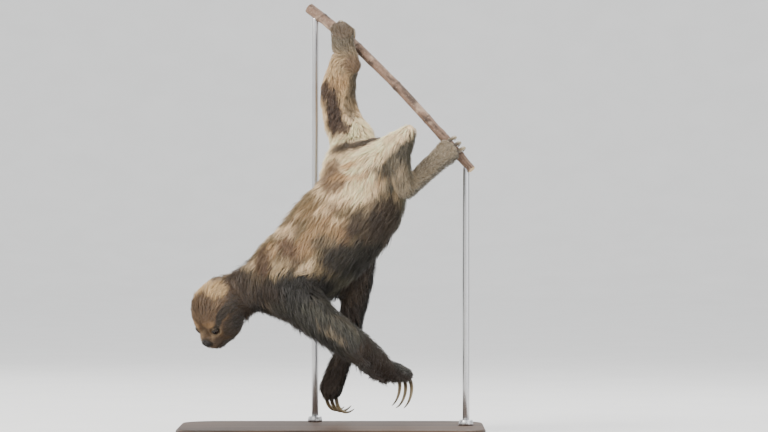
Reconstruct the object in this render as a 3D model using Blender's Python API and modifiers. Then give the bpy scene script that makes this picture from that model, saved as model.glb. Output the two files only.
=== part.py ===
"""Three-toed sloth, life size, hanging head down from a short branch on a two-rod display stand.

Metres, +Z up. The origin is the middle of the stand's underside. +X runs from the sloth's head to
its rump, and +Y from its left side to its right; its belly faces +X and down. The body is modelled
whole, out to the tips of its coat, and then parted with thin cuts.
"""

import math

import bmesh
import bpy
from mathutils import Matrix, Vector

# ---------------------------------------------------------------- driving sizes
GAP = 0.0004  # clearance between neighbouring solids
VOXEL = 0.0028  # grid on which the body's masses are joined
BODY_TRIANGLES = 3350
FACE_REACH, FACE_THINNING = 0.026, 0.92  # the face keeps more of its faces than the rest
LIMB_SPACE_TRIANGLES = 380  # of the space that a limb is parted from the trunk by
LIMB_MARGIN = 0.0045  # how far that space stands off the limb
LIMB_START = 0.55  # share of the way from a limb's root to its next mass, where its space begins

BASE_LENGTH, BASE_WIDTH, BASE_THICKNESS = 0.450, 0.300, 0.015
BASE_CORNER, BASE_EDGE = 0.060, 0.004
ROD_RADIUS = 0.0050
ROD_SPOTS = {"left": -0.026, "right": 0.198}  # x of each rod under the perch
COLLAR_RADIUS, COLLAR_HEIGHT, COLLAR_TAPER = 0.011, 0.008, 0.85
BRANCH_RADII = (0.0088, 0.0085, 0.0078, 0.0076, 0.0072)

FORE_CLAW_LENGTH, HIND_CLAW_LENGTH = 0.066, 0.052
CLAW_ROOT_RADIUS, CLAW_TIP_RADIUS = 0.0036, 0.0006
CLAW_SINK = 0.010  # how much of a claw is held in the paw
CLAW_SEGMENTS = 7
FORE_CLAW_BEND, FORE_CLAW_ANGLE = 0.025, 35.0  # radius of the hook, and its angle to the hand
CLAW_CLEARANCE = 0.0012  # between a claw and the bark that it hooks over
SIDE_CLAW_SHARE = 0.92  # length of an outer claw against the middle one's
EYE_RADIUS = 0.0056

# The perch, from its free upper end past both hind feet to its lower end.
BRANCH_PATH = [
    Vector((-0.036, 0.119, 0.636)),
    Vector((0.018, 0.095, 0.593)),
    Vector((0.098, 0.055, 0.515)),
    Vector((0.176, 0.014, 0.427)),
    Vector((0.207, -0.002, 0.391)),
]

# ---------------------------------------------------------------- the sloth's build
# A run of masses is a list of (place, radius) that the flesh and coat swell round.
TRUNK = [
    (Vector((0.084, 0.006, 0.404)), 0.038),
    (Vector((0.060, 0.003, 0.384)), 0.055),
    (Vector((0.044, 0.000, 0.346)), 0.068),
    (Vector((0.006, -0.004, 0.303)), 0.071),
    (Vector((-0.034, -0.008, 0.265)), 0.064),
    (Vector((-0.068, -0.010, 0.243)), 0.055),
]
NECK = [
    (Vector((-0.079, -0.012, 0.230)), 0.049),
    (Vector((-0.100, -0.012, 0.225)), 0.039),
    (Vector((-0.118, -0.013, 0.221)), 0.034),
    (Vector((-0.140, -0.008, 0.208)), 0.034),
]
TAIL = [
    (Vector((0.090, 0.008, 0.410)), 0.024),
    (Vector((0.105, 0.017, 0.428)), 0.016),
    (Vector((0.112, 0.025, 0.440)), 0.011),
]

HEAD_CENTRE = Vector((-0.166, -0.014, 0.181))
HEAD_YAW, HEAD_PITCH, HEAD_ROLL = 48.0, 54.0, 4.0  # turned to its right, bowed, tipped

# Masses of the head: place and half sizes, forward, to its left and up, from HEAD_CENTRE.
HEAD_MASSES = {
    "cranium": ((-0.004, 0.0, 0.005), (0.042, 0.042, 0.043)),
    "nape": ((-0.024, 0.0, 0.003), (0.037, 0.039, 0.038)),
    "face": ((0.014, 0.0, -0.004), (0.027, 0.036, 0.034)),
    "muzzle": ((0.034, 0.0, -0.0115), (0.0175, 0.0185, 0.0150)),
    "chin": ((0.028, 0.0, -0.0235), (0.0155, 0.0170, 0.0115)),
    "left_cheek": ((0.006, 0.020, -0.010), (0.026, 0.021, 0.025)),
    "right_cheek": ((0.006, -0.020, -0.010), (0.026, 0.021, 0.025)),
    "throat": ((0.004, 0.0, -0.024), (0.030, 0.028, 0.022)),
}
EYE_PLACE = (0.0312, 0.0171, 0.0029)  # forward, to the side, up
NOSE_PLACE = (0.0482, 0.0, -0.0085)
NOSE_HALF_SIZES = (0.0045, 0.0088, 0.0060)

# Limbs, from the root to the paw: (place, radius) of each joint and of the swell between.
LIMBS = {
    "left_arm": {
        "upper_arm": [
            (Vector((-0.064, -0.034, 0.220)), 0.043),
            (Vector((-0.040, -0.056, 0.196)), 0.033),
            (Vector((0.000, -0.074, 0.163)), 0.0265),
            (Vector((0.035, -0.085, 0.139)), 0.0240),
        ],
        "forearm": [
            (Vector((0.035, -0.085, 0.139)), 0.0240),
            (Vector((0.056, -0.040, 0.118)), 0.0235),
            (Vector((0.079, 0.022, 0.097)), 0.0180),
        ],
        "hand": [
            (Vector((0.079, 0.022, 0.097)), 0.0180),
            (Vector((0.092, 0.044, 0.094)), 0.0180),
            (Vector((0.104, 0.064, 0.089)), 0.0155),
        ],
        "palm": Vector((-0.25, -0.10, -1.0)),
    },
    "right_arm": {
        "upper_arm": [
            (Vector((-0.062, 0.024, 0.230)), 0.038),
            (Vector((-0.034, 0.060, 0.219)), 0.030),
            (Vector((0.010, 0.090, 0.235)), 0.0255),
            (Vector((0.046, 0.098, 0.260)), 0.0235),
        ],
        "forearm": [
            (Vector((0.046, 0.098, 0.260)), 0.0235),
            (Vector((0.036, 0.087, 0.210)), 0.0240),
            (Vector((0.020, 0.070, 0.125)), 0.0175),
        ],
        "hand": [
            (Vector((0.020, 0.070, 0.125)), 0.0175),
            (Vector((0.008, 0.064, 0.094)), 0.0200),
            (Vector((-0.002, 0.058, 0.066)), 0.0180),
        ],
        "palm": Vector((0.75, 0.80, -0.25)),
    },
    "left_leg": {
        "thigh": [
            (Vector((0.060, -0.026, 0.388)), 0.043),
            (Vector((0.087, -0.059, 0.415)), 0.028),
            (Vector((0.114, -0.092, 0.449)), 0.0160),
        ],
        "shin": [
            (Vector((0.114, -0.092, 0.449)), 0.0160),
            (Vector((0.099, -0.096, 0.413)), 0.0190),
            (Vector((0.105, -0.088, 0.371)), 0.0170),
        ],
        "foot": [
            (Vector((0.109, -0.085, 0.362)), 0.0165),
            (Vector((0.142, -0.053, 0.393)), 0.0175),
            (Vector((0.1735, -0.0105, 0.421)), 0.0145),
        ],
        "palm": Vector((-0.30, 1.0, -0.25)),
    },
    "right_leg": {
        "thigh": [
            (Vector((0.030, 0.024, 0.380)), 0.051),
            (Vector((0.034, 0.062, 0.424)), 0.038),
            (Vector((0.0155, 0.089, 0.466)), 0.0315),
        ],
        "shin": [
            (Vector((0.0155, 0.089, 0.466)), 0.0315),
            (Vector((0.0085, 0.083, 0.503)), 0.0290),
            (Vector((0.0165, 0.069, 0.548)), 0.0245),
        ],
        "foot": [
            (Vector((0.030, 0.060, 0.545)), 0.0175),
            (Vector((0.0165, 0.067, 0.572)), 0.0200),
            (Vector((0.0155, 0.074, 0.600)), 0.0160),
        ],
        "palm": Vector((0.21, 1.0, -0.15)),
    },
}
PAW_THICKNESS = 0.78  # of its width
DIGIT_SPREAD = 0.0105
FUR_FOLD = 0.4  # share of a mass's radius between one ball of a run and the next

FUR_COLOUR = (0.42, 0.34, 0.25, 1.0)
CLAW_COLOUR = (0.50, 0.42, 0.30, 1.0)


# ---------------------------------------------------------------- scene helpers
def clear_scene():
    for obj in list(bpy.data.objects):
        bpy.data.objects.remove(obj)


def new_collection(name):
    collection = bpy.data.collections.new(name)
    bpy.context.scene.collection.children.link(collection)
    return collection


def new_material(name, colour, roughness, metallic=0.0):
    material = bpy.data.materials.new(name)
    material.use_nodes = True
    shader = material.node_tree.nodes["Principled BSDF"]
    shader.inputs["Base Color"].default_value = colour
    shader.inputs["Roughness"].default_value = roughness
    shader.inputs["Metallic"].default_value = metallic
    return material


def add_object(name, mesh, collection, material=None, smooth=True):
    obj = bpy.data.objects.new(name, mesh)
    collection.objects.link(obj)
    if material:
        mesh.materials.append(material)
    if smooth:
        mesh.shade_smooth()
    return obj


def add_helper(name, mesh, collection):
    helper = add_object(name, mesh, collection, smooth=False)
    helper.hide_render = True
    helper.display_type = "WIRE"
    return helper


def mesh_of(bm, name):
    mesh = bpy.data.meshes.new(name)
    bm.to_mesh(mesh)
    bm.free()
    return mesh


def evaluated_mesh(obj):
    bpy.context.view_layer.update()
    graph = bpy.context.evaluated_depsgraph_get()
    return bpy.data.meshes.new_from_object(obj.evaluated_get(graph))


def cut(obj, cutter, operation="DIFFERENCE"):
    """Replaces obj's mesh by its Boolean with cutter."""
    modifier = obj.modifiers.new("cut", "BOOLEAN")
    modifier.operation = operation
    modifier.solver = "EXACT"
    modifier.object = cutter
    mesh = evaluated_mesh(obj)
    obj.modifiers.clear()
    old = obj.data
    obj.data = mesh
    bpy.data.meshes.remove(old)


# ---------------------------------------------------------------- shapes
def smooth_run(run, spacing=FUR_FOLD):
    """(place, radius) every `spacing` radii along the smooth curve through a run of masses."""
    places = [place for place, _ in run]
    radii = [radius for _, radius in run]
    before = [places[0] * 2 - places[1], *places]
    after = [*places[1:], places[-1] * 2 - places[-2]]
    found = [(places[0], radii[0])]
    for i in range(len(run) - 1):
        a, b, c, d = before[i], places[i], places[i + 1], (after + [after[-1]])[i + 1]
        steps = max(2, math.ceil((c - b).length / (spacing * min(radii[i], radii[i + 1]))))
        for step in range(1, steps + 1):
            t = step / steps
            place = 0.5 * (
                2 * b
                + (c - a) * t
                + (2 * a - 5 * b + 4 * c - d) * t**2
                + (3 * b - a - 3 * c + d) * t**3
            )
            found.append((place, radii[i] + (radii[i + 1] - radii[i]) * (3 - 2 * t) * t * t))
    return found


def unit_ball():
    bm = bmesh.new()
    bmesh.ops.create_uvsphere(bm, u_segments=20, v_segments=12, radius=1.0)
    return mesh_of(bm, "unit_ball")


def add_ball(bm, matrix):
    """A copy of the unit ball, placed and sized by matrix."""
    ball = bpy.data.meshes["unit_ball"].copy()
    ball.transform(matrix)
    bm.from_mesh(ball)
    bpy.data.meshes.remove(ball)


def add_run(bm, run, flatten=None, thickness=1.0):
    """Balls along a run of masses, each thinned to `thickness` along the direction `flatten`."""
    squash = Matrix.Scale(thickness, 4, flatten.normalized()) if flatten else Matrix.Identity(4)
    for place, radius in smooth_run(run):
        add_ball(bm, Matrix.Translation(place) @ squash @ Matrix.Scale(radius, 4))


def paw_axes(limb):
    """Unit vectors along a paw, out of its palm and across its knuckles."""
    paw = limb.get("hand") or limb["foot"]
    along = (paw[-1][0] - paw[0][0]).normalized()
    palm = (limb["palm"] - limb["palm"].dot(along) * along).normalized()
    across = along.cross(palm)
    if "foot" in limb:
        # A foot that grips the perch turns its knuckles halfway towards the perch's own line.
        perch = (BRANCH_PATH[3] - BRANCH_PATH[1]).normalized()
        across = (across + math.copysign(1.0, across.dot(perch)) * perch).normalized()
        along = (along - along.dot(across) * across).normalized()
    return along, palm, across


def head_frame():
    """Matrix from (forward, left, up) of the head to the model's frame."""
    yaw, pitch, roll = (math.radians(a) for a in (HEAD_YAW, HEAD_PITCH, HEAD_ROLL))
    facing_viewer = Matrix.Rotation(-math.pi / 2, 4, "Z")  # forward +X turned to -Y
    turn = Matrix.Rotation(-yaw, 4, "Z")
    bow = Matrix.Rotation(pitch, 4, "Y")
    tip = Matrix.Rotation(-roll, 4, "X")
    return Matrix.Translation(HEAD_CENTRE) @ turn @ facing_viewer @ bow @ tip


def half_size_matrix(place, half_sizes, grow=0.0):
    size = Matrix.Diagonal([*(h + grow for h in half_sizes), 1.0])
    return head_frame() @ Matrix.Translation(place) @ size


def tube_mesh(points, radii, name, sides=1):
    """A closed round tube with a radius at each point, made by a bevelled curve."""
    curve = bpy.data.curves.new(name, "CURVE")
    curve.dimensions = "3D"
    curve.bevel_depth = 1.0
    curve.bevel_resolution = sides
    curve.use_fill_caps = True
    spline = curve.splines.new("POLY")
    spline.points.add(len(points) - 1)
    for spot, place, radius in zip(spline.points, points, radii):
        spot.co = (*place, 1.0)
        spot.radius = radius
    holder = bpy.data.objects.new(name, curve)
    bpy.context.scene.collection.objects.link(holder)
    mesh = evaluated_mesh(holder)
    bpy.data.objects.remove(holder)
    bm = bmesh.new()
    bm.from_mesh(mesh)
    bmesh.ops.remove_doubles(bm, verts=bm.verts, dist=1e-5)
    bmesh.ops.recalc_face_normals(bm, faces=bm.faces)
    bm.to_mesh(mesh)
    bm.free()
    return mesh


# ---------------------------------------------------------------- claws
def free_claw(knuckle, tip_radius, along, palm, length):
    """Points of a claw that leaves the hand at an angle and hooks round towards the palm."""
    angle = math.radians(FORE_CLAW_ANGLE)
    way = math.cos(angle) * along + math.sin(angle) * palm
    inward = math.cos(angle) * palm - math.sin(angle) * along
    out = knuckle + 0.85 * tip_radius * way
    sweep = (length - CLAW_SINK) / FORE_CLAW_BEND
    line = [out - CLAW_SINK * way]
    for i in range(CLAW_SEGMENTS):
        turned = sweep * i / (CLAW_SEGMENTS - 1)
        line.append(
            out + FORE_CLAW_BEND * (math.sin(turned) * way + (1 - math.cos(turned)) * inward)
        )
    return line


def gripping_claw(knuckle, along, across, length):
    """Points of a claw that winds over the perch from the knuckle, just clear of the bark."""
    near, radius = branch_nearest(knuckle)
    perch = (BRANCH_PATH[3] - BRANCH_PATH[1]).normalized()
    centre = near + perch * ((knuckle - near).dot(across) / perch.dot(across))
    out = knuckle - centre
    over = (along - along.dot(out) / out.dot(out) * out).normalized()
    clear = radius + CLAW_ROOT_RADIUS + CLAW_CLEARANCE
    sweep = 2 * length / (out.length + clear)
    line = []
    for i in range(CLAW_SEGMENTS + 1):
        turned = sweep * i / CLAW_SEGMENTS
        distance = out.length + (clear - out.length) * min(1.0, turned / math.radians(100))
        place = centre + distance * (
            math.cos(turned) * out.normalized() + math.sin(turned) * over
        )
        bark, radius = branch_nearest(place)
        off = place - bark
        line.append(bark + off * max(1.0, clear / off.length))
    return line


def claw_radii():
    """A claw keeps its thickness near the root and runs out to a point."""
    shares = [(i / (CLAW_SEGMENTS - 1)) ** 1.6 for i in range(CLAW_SEGMENTS)]
    taper = CLAW_TIP_RADIUS - CLAW_ROOT_RADIUS
    return [CLAW_ROOT_RADIUS * 0.8, *(CLAW_ROOT_RADIUS + taper * share for share in shares)]


def claws_of(limb_name, limb):
    """{name: line} of a paw's three claws. The middle one is the longest."""
    along, palm, across = paw_axes(limb)
    tip, tip_radius = (limb.get("hand") or limb["foot"])[-1]
    lines = {}
    for digit, side in enumerate((-1, 0, 1), start=1):
        knuckle = tip + side * DIGIT_SPREAD * across
        share = SIDE_CLAW_SHARE if side else 1.0
        if "hand" in limb:
            line = free_claw(knuckle, tip_radius, along, palm, FORE_CLAW_LENGTH * share)
        else:
            line = gripping_claw(knuckle, along, across, HIND_CLAW_LENGTH * share)
        lines[f"{limb_name}_claw_{digit}"] = line
    return lines


def build_claws(parts, cutters, material):
    """Each claw as a solid, and the slightly larger shapes that make its socket."""
    sockets = []
    radii = claw_radii()
    for limb_name, limb in LIMBS.items():
        for name, line in claws_of(limb_name, limb).items():
            add_object(name, tube_mesh(line, radii, name), parts, material)
            first_step = (line[1] - line[0]).normalized()
            socket_line = [line[0] - 2 * GAP * first_step, *line[1:]]
            socket_radii = [radius + GAP for radius in radii]
            sockets.append(
                add_helper(f"socket_{name}", tube_mesh(socket_line, socket_radii, name), cutters)
            )
    return sockets


# ---------------------------------------------------------------- body
def add_limb(bm, limb, grow=0.0, start=0.0):
    """A limb's masses, grown, from `start` of the way between its first two."""
    _, palm, across = paw_axes(limb)
    for part, run in limb.items():
        if part == "palm":
            continue
        run = [(place, radius + grow) for place, radius in run]
        if part in ("upper_arm", "thigh"):
            (root, wide), (place, radius) = run[:2]
            run[0] = (root.lerp(place, start), wide + (radius - wide) * start)
        if part in ("hand", "foot"):
            add_run(bm, run, flatten=palm, thickness=PAW_THICKNESS)
            knuckles, radius = run[-1]
            for side in (-1, 1):
                beside = knuckles + side * DIGIT_SPREAD * across
                add_run(bm, [(run[1][0], radius), (beside, radius * 0.72)])
        else:
            add_run(bm, run)


def keep_fine(obj, centre, radius, share):
    """A group that lets Decimate thin obj near centre only to `share` of what it does elsewhere."""
    group = obj.vertex_groups.new(name="thin")
    for vertex in obj.data.vertices:
        near = (vertex.co - centre).length < radius
        group.add([vertex.index], share if near else 1.0, "REPLACE")
    return group.name


def joined(obj, triangles, fine_at=None):
    """Makes obj's overlapping masses one soft closed surface of about this many triangles."""
    remesh = obj.modifiers.new("join", "REMESH")
    remesh.mode = "VOXEL"
    remesh.voxel_size = VOXEL
    soften = obj.modifiers.new("soften", "SMOOTH")
    soften.factor = 0.5
    soften.iterations = 6
    obj.data = evaluated_mesh(obj)
    obj.modifiers.clear()
    obj.data.calc_loop_triangles()
    reduce = obj.modifiers.new("reduce", "DECIMATE")
    reduce.ratio = triangles / len(obj.data.loop_triangles)
    if fine_at:
        reduce.vertex_group = keep_fine(obj, *fine_at)
    obj.data = evaluated_mesh(obj)
    obj.modifiers.clear()
    return obj


def build_body(cutters):
    """The whole sloth as one closed surface."""
    bm = bmesh.new()
    for run in (TRUNK, NECK, TAIL):
        add_run(bm, run)
    for place, half_sizes in HEAD_MASSES.values():
        add_ball(bm, half_size_matrix(place, half_sizes))
    for limb in LIMBS.values():
        add_limb(bm, limb)
    body = add_helper("whole_body", mesh_of(bm, "masses"), cutters)
    face = head_frame() @ Vector(HEAD_MASSES["muzzle"][0])
    return joined(body, BODY_TRIANGLES, fine_at=(face, FACE_REACH, FACE_THINNING))


# ---------------------------------------------------------------- parting cuts
def disc_mesh(matrix, segments=24):
    """A disc of radius 1 and thickness 1, placed and sized by matrix."""
    bm = bmesh.new()
    bmesh.ops.create_cone(
        bm, cap_ends=True, segments=segments, radius1=1.0, radius2=1.0, depth=1.0, matrix=matrix
    )
    return mesh_of(bm, "disc")


def plate_cut(name, centre, normal, half_sizes, cutters, edge=Vector((0, 0, 1))):
    """A thin plate that parts the body. half_sizes are along `edge`, turned square to normal, and
    across it."""
    normal = normal.normalized()
    along = (edge - edge.dot(normal) * normal).normalized()
    turn = Matrix((along, normal.cross(along), normal)).transposed().to_4x4()
    size = Matrix.Diagonal((half_sizes[0], half_sizes[1], GAP, 1.0))
    return add_helper(name, disc_mesh(Matrix.Translation(centre) @ turn @ size), cutters)


def limb_cut(name, run, spot, share, reach, cutters):
    """A plate across a run of masses, part of the way from run[spot] to run[spot + 1]."""
    start, end = run[spot], run[spot + 1]
    centre = start[0].lerp(end[0], share)
    radius = (start[1] + (end[1] - start[1]) * share) * reach
    return plate_cut(f"cut_{name}", centre, end[0] - start[0], (radius, radius), cutters)


def bend_cut(name, upper, lower, cutters):
    """A plate between the two sides of a bent limb, from outside its joint to where they part."""
    joint, radius = lower[0]
    up = (upper[-2][0] - joint).normalized()
    down = (lower[1][0] - joint).normalized()
    half_angle = up.angle(down) / 2
    outer = 2.1 * radius
    inner = 1.4 * max(upper[-2][1], lower[1][1]) / math.sin(half_angle)
    way = (up + down).normalized()
    centre = joint + way * (inner - outer) / 2
    half_sizes = ((inner + outer) / 2, 1.4 * max(upper[-2][1], lower[1][1]))
    return plate_cut(f"cut_{name}", centre, up - down, half_sizes, cutters, edge=way)


def trunk_cuts(cutters):
    """The plates across both ends of the neck, and across the tail."""
    head_way = (NECK[-1][0] - NECK[-2][0]).normalized()
    return [
        limb_cut("neck_root", NECK, 1, 0.15, 1.5, cutters),
        limb_cut("tail", TAIL, 0, 0.75, 1.8, cutters),
        plate_cut("cut_head", NECK[-1][0] - 0.004 * head_way, head_way, (0.055, 0.055), cutters),
    ]


def limb_cuts(name, limb, cutters):
    """The plates across a limb's middle joint and its wrist or ankle."""
    fore = "hand" in limb
    upper, lower, paw = ("upper_arm", "forearm", "hand") if fore else ("thigh", "shin", "foot")
    return [
        bend_cut(f"{name}_middle", limb[upper], limb[lower], cutters),
        bend_cut(f"{name}_end", limb[lower], limb[paw], cutters),
    ]


def part_limb(body, name, limb, cutters):
    """Takes a limb off the body, along a ball-ended space round it, and returns it."""
    bm = bmesh.new()
    add_limb(bm, limb, grow=LIMB_MARGIN, start=LIMB_START)
    space = joined(add_helper(f"space_{name}", mesh_of(bm, name), cutters), LIMB_SPACE_TRIANGLES)
    taken = add_helper(f"whole_{name}", body.data.copy(), cutters)
    cut(taken, space, "INTERSECT")
    grown = space.modifiers.new("grow", "DISPLACE")
    grown.mid_level = 0.0
    grown.strength = GAP
    cut(body, space)
    return taken


PART_PLACES = {
    "head": HEAD_CENTRE,
    "neck": NECK[2][0],
    "trunk": TRUNK[3][0],
    "tail": TAIL[2][0],
}


def part_places():
    """A point inside each piece of flesh, by the piece's name."""
    places = dict(PART_PLACES)
    for limb_name, limb in LIMBS.items():
        side = limb_name.split("_")[0]
        for part, run in limb.items():
            if part != "palm":
                places[f"{side}_{part}"] = run[1][0].lerp(run[2][0], 0.4)
    return places


def loose_pieces(obj, collection):
    """obj's separate closed pieces, each as a new object."""
    bm = bmesh.new()
    bm.from_mesh(obj.data)
    left = set(bm.verts)
    groups = []
    while left:
        queue, group = [left.pop()], set()
        while queue:
            vert = queue.pop()
            group.add(vert)
            for edge in vert.link_edges:
                other = edge.other_vert(vert)
                if other in left:
                    left.discard(other)
                    queue.append(other)
        groups.append({v.index for v in group})
    bm.free()
    pieces = []
    for group in groups:
        bm = bmesh.new()
        bm.from_mesh(obj.data)
        bmesh.ops.delete(bm, geom=[v for v in bm.verts if v.index not in group], context="VERTS")
        pieces.append(add_object("piece", mesh_of(bm, "piece"), collection))
    return pieces


def is_inside(mesh, place):
    """Whether `place` is in a closed mesh, by the solid angle of its triangles."""
    mesh.calc_loop_triangles()
    total = 0.0
    for triangle in mesh.loop_triangles:
        a, b, c = (mesh.vertices[i].co - place for i in triangle.vertices)
        la, lb, lc = a.length, b.length, c.length
        below = la * lb * lc + a.dot(b) * lc + b.dot(c) * la + c.dot(a) * lb
        total += 2 * math.atan2(a.dot(b.cross(c)), below)
    return abs(total) > 2 * math.pi


def part_body(body, parts, cutters, material):
    """Parts the body into its named pieces."""
    whole = {body: trunk_cuts(cutters)}
    for name, limb in LIMBS.items():
        whole[part_limb(body, name, limb, cutters)] = limb_cuts(name, limb, cutters)
    places = part_places()
    for piece, cuts in whole.items():
        for cutter in cuts:
            cut(piece, cutter)
        for loose in loose_pieces(piece, parts):
            loose.name = next(n for n, place in places.items() if is_inside(loose.data, place))
            loose.data.materials.append(material)
        bpy.data.objects.remove(piece)


# ---------------------------------------------------------------- eyes and nose
def build_ball(name, matrix, collection, material=None):
    bm = bmesh.new()
    bmesh.ops.create_uvsphere(bm, u_segments=10, v_segments=6, radius=1.0, matrix=matrix)
    mesh = mesh_of(bm, name)
    if material:
        return add_object(name, mesh, collection, material)
    return add_helper(name, mesh, collection)


def build_face(parts, cutters, materials):
    """The eyes and nose pad, and the cutters that seat them in the head."""
    seats = []
    forward, side, up = EYE_PLACE
    for name, sign in (("left_eye", 1), ("right_eye", -1)):
        place = (forward, sign * side, up)
        eye = (EYE_RADIUS,) * 3
        build_ball(name, half_size_matrix(place, eye), parts, materials["eye"])
        seats.append(build_ball(f"seat_{name}", half_size_matrix(place, eye, GAP), cutters))
    build_ball("nose", half_size_matrix(NOSE_PLACE, NOSE_HALF_SIZES), parts, materials["nose"])
    seats.append(
        build_ball("seat_nose", half_size_matrix(NOSE_PLACE, NOSE_HALF_SIZES, GAP), cutters)
    )
    return seats


# ---------------------------------------------------------------- perch and stand
def branch_run(grow=0.0):
    run = list(zip(BRANCH_PATH, BRANCH_RADII))
    places = smooth_run(run, spacing=2.4)
    return [place for place, _ in places], [radius + grow for _, radius in places]


def branch_above(x):
    """The point of the perch's centre line at this x."""
    points, _ = branch_run()
    for a, b in zip(points, points[1:]):
        if a.x <= x <= b.x:
            return a.lerp(b, (x - a.x) / (b.x - a.x))
    raise ValueError("the perch doesn't reach that x")


def branch_nearest(place):
    """(point of the perch's centre line, radius there) nearest to a place."""
    points, radii = branch_run()
    found = []
    for a, b, radius in zip(points, points[1:], radii):
        share = min(1.0, max(0.0, (place - a).dot(b - a) / (b - a).length_squared))
        near = a.lerp(b, share)
        found.append(((place - near).length, near, radius))
    return min(found, key=lambda item: item[0])[1:]


def build_perch(parts, cutters, material):
    add_object("perch_branch", tube_mesh(*branch_run(), "branch", sides=2), parts, material)
    return add_helper(
        "seat_perch", tube_mesh(*branch_run(grow=GAP), "seat_perch", sides=2), cutters
    )


def cylinder_mesh(name, place, radii, height, segments):
    """An upright cylinder or cone with its bottom's middle at place."""
    bm = bmesh.new()
    bmesh.ops.create_cone(
        bm,
        cap_ends=True,
        segments=segments,
        radius1=radii[0],
        radius2=radii[1],
        depth=height,
        matrix=Matrix.Translation(place + Vector((0, 0, height / 2))),
    )
    return mesh_of(bm, name)


def build_base(parts, material):
    bm = bmesh.new()
    size = Matrix.Diagonal((BASE_LENGTH, BASE_WIDTH, BASE_THICKNESS, 1.0))
    lift = Matrix.Translation((0, 0, BASE_THICKNESS / 2))
    bmesh.ops.create_cube(bm, size=1.0, matrix=lift @ size)
    upright = [e for e in bm.edges if abs((e.verts[0].co - e.verts[1].co).z) > 0.5 * BASE_THICKNESS]
    bmesh.ops.bevel(bm, geom=upright, offset=BASE_CORNER, segments=8, affect="EDGES", profile=0.5)
    rim = [e for e in bm.edges if all(v.co.z > BASE_THICKNESS * 0.9 for v in e.verts)]
    bmesh.ops.bevel(bm, geom=rim, offset=BASE_EDGE, segments=2, affect="EDGES", profile=0.5)
    add_object("stand_base", mesh_of(bm, "stand_base"), parts, material, smooth=False)


def build_rods(parts, cutters, material):
    """The two rods under the perch, with a collar round the foot of each."""
    for name, x in ROD_SPOTS.items():
        spot = branch_above(x)
        foot = Vector((spot.x, spot.y, BASE_THICKNESS + GAP))
        wide = (ROD_RADIUS, ROD_RADIUS)
        rod_mesh = cylinder_mesh("rod", foot, wide, spot.z - foot.z, 16)
        rod = add_object(f"stand_rod_{name}", rod_mesh, parts, material)
        cut(rod, bpy.data.objects["seat_perch"])
        taper = (COLLAR_RADIUS, COLLAR_RADIUS * COLLAR_TAPER)
        collar_mesh = cylinder_mesh("collar", foot, taper, COLLAR_HEIGHT, 24)
        collar = add_object(f"stand_collar_{name}", collar_mesh, parts, material)
        bore_foot = foot - Vector((0, 0, COLLAR_HEIGHT))
        bore_wide = (ROD_RADIUS + GAP, ROD_RADIUS + GAP)
        bore_mesh = cylinder_mesh("bore", bore_foot, bore_wide, 3 * COLLAR_HEIGHT, 16)
        cut(collar, add_helper(f"bore_{name}", bore_mesh, cutters))


def main():
    clear_scene()
    parts = new_collection("three_toed_sloth")
    cutters = new_collection("cutters")
    cutters.hide_render = True
    materials = {
        "fur": new_material("fur", FUR_COLOUR, 0.9),
        "claw": new_material("claw", CLAW_COLOUR, 0.45),
        "eye": new_material("eye", (0.02, 0.012, 0.008, 1.0), 0.08),
        "nose": new_material("nose", (0.03, 0.025, 0.022, 1.0), 0.45),
        "bark": new_material("bark", (0.32, 0.24, 0.19, 1.0), 0.85),
        "base": new_material("base", (0.24, 0.16, 0.10, 1.0), 0.5),
        "steel": new_material("steel", (0.55, 0.55, 0.56, 1.0), 0.3, metallic=1.0),
    }
    unit_ball()
    perch_seat = build_perch(parts, cutters, materials["bark"])
    build_base(parts, materials["base"])
    build_rods(parts, cutters, materials["steel"])
    seats = build_face(parts, cutters, materials)
    seats += build_claws(parts, cutters, materials["claw"])
    body = build_body(cutters)
    for seat in [perch_seat, *seats]:
        cut(body, seat)
    part_body(body, parts, cutters, materials["fur"])


main()
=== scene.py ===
"""Life-size three-toed sloth on a display stand: one skin, its coat, face, claws, perch and stand.

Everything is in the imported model's own frame, and in metres but for the tables in millimetres. The
masses below repeat the solids' ones, because the skin's depth, the lie of the coat and the markings
all follow them.
"""

import math

import bmesh
import bpy
import numpy as np
from mathutils import Matrix, Vector
from mathutils.bvhtree import BVHTree
from mathutils.kdtree import KDTree


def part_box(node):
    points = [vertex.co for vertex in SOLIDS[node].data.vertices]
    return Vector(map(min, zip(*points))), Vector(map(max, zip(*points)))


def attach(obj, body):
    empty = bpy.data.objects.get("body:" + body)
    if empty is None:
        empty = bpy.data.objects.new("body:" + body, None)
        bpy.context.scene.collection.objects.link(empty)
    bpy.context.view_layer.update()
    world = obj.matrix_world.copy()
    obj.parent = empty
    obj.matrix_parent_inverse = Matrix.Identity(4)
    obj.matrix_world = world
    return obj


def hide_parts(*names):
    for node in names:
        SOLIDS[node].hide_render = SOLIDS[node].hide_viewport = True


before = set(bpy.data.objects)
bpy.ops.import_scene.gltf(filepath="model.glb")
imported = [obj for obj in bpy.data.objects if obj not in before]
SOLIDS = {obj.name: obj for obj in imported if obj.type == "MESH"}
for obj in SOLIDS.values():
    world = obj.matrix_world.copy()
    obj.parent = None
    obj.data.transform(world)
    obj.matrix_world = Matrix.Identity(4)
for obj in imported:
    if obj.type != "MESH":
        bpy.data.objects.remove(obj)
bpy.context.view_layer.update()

FLESH = [name for name in SOLIDS if SOLIDS[name].data.materials[0].name.startswith("coat")]


# ------------------------ colours
def linear(rgb):
    """sRGB 0-255 to linear 0-1."""
    c = np.asarray(rgb, float) / 255.0
    return np.where(c <= 0.04045, c / 12.92, ((c + 0.055) / 1.055) ** 2.4)


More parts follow.
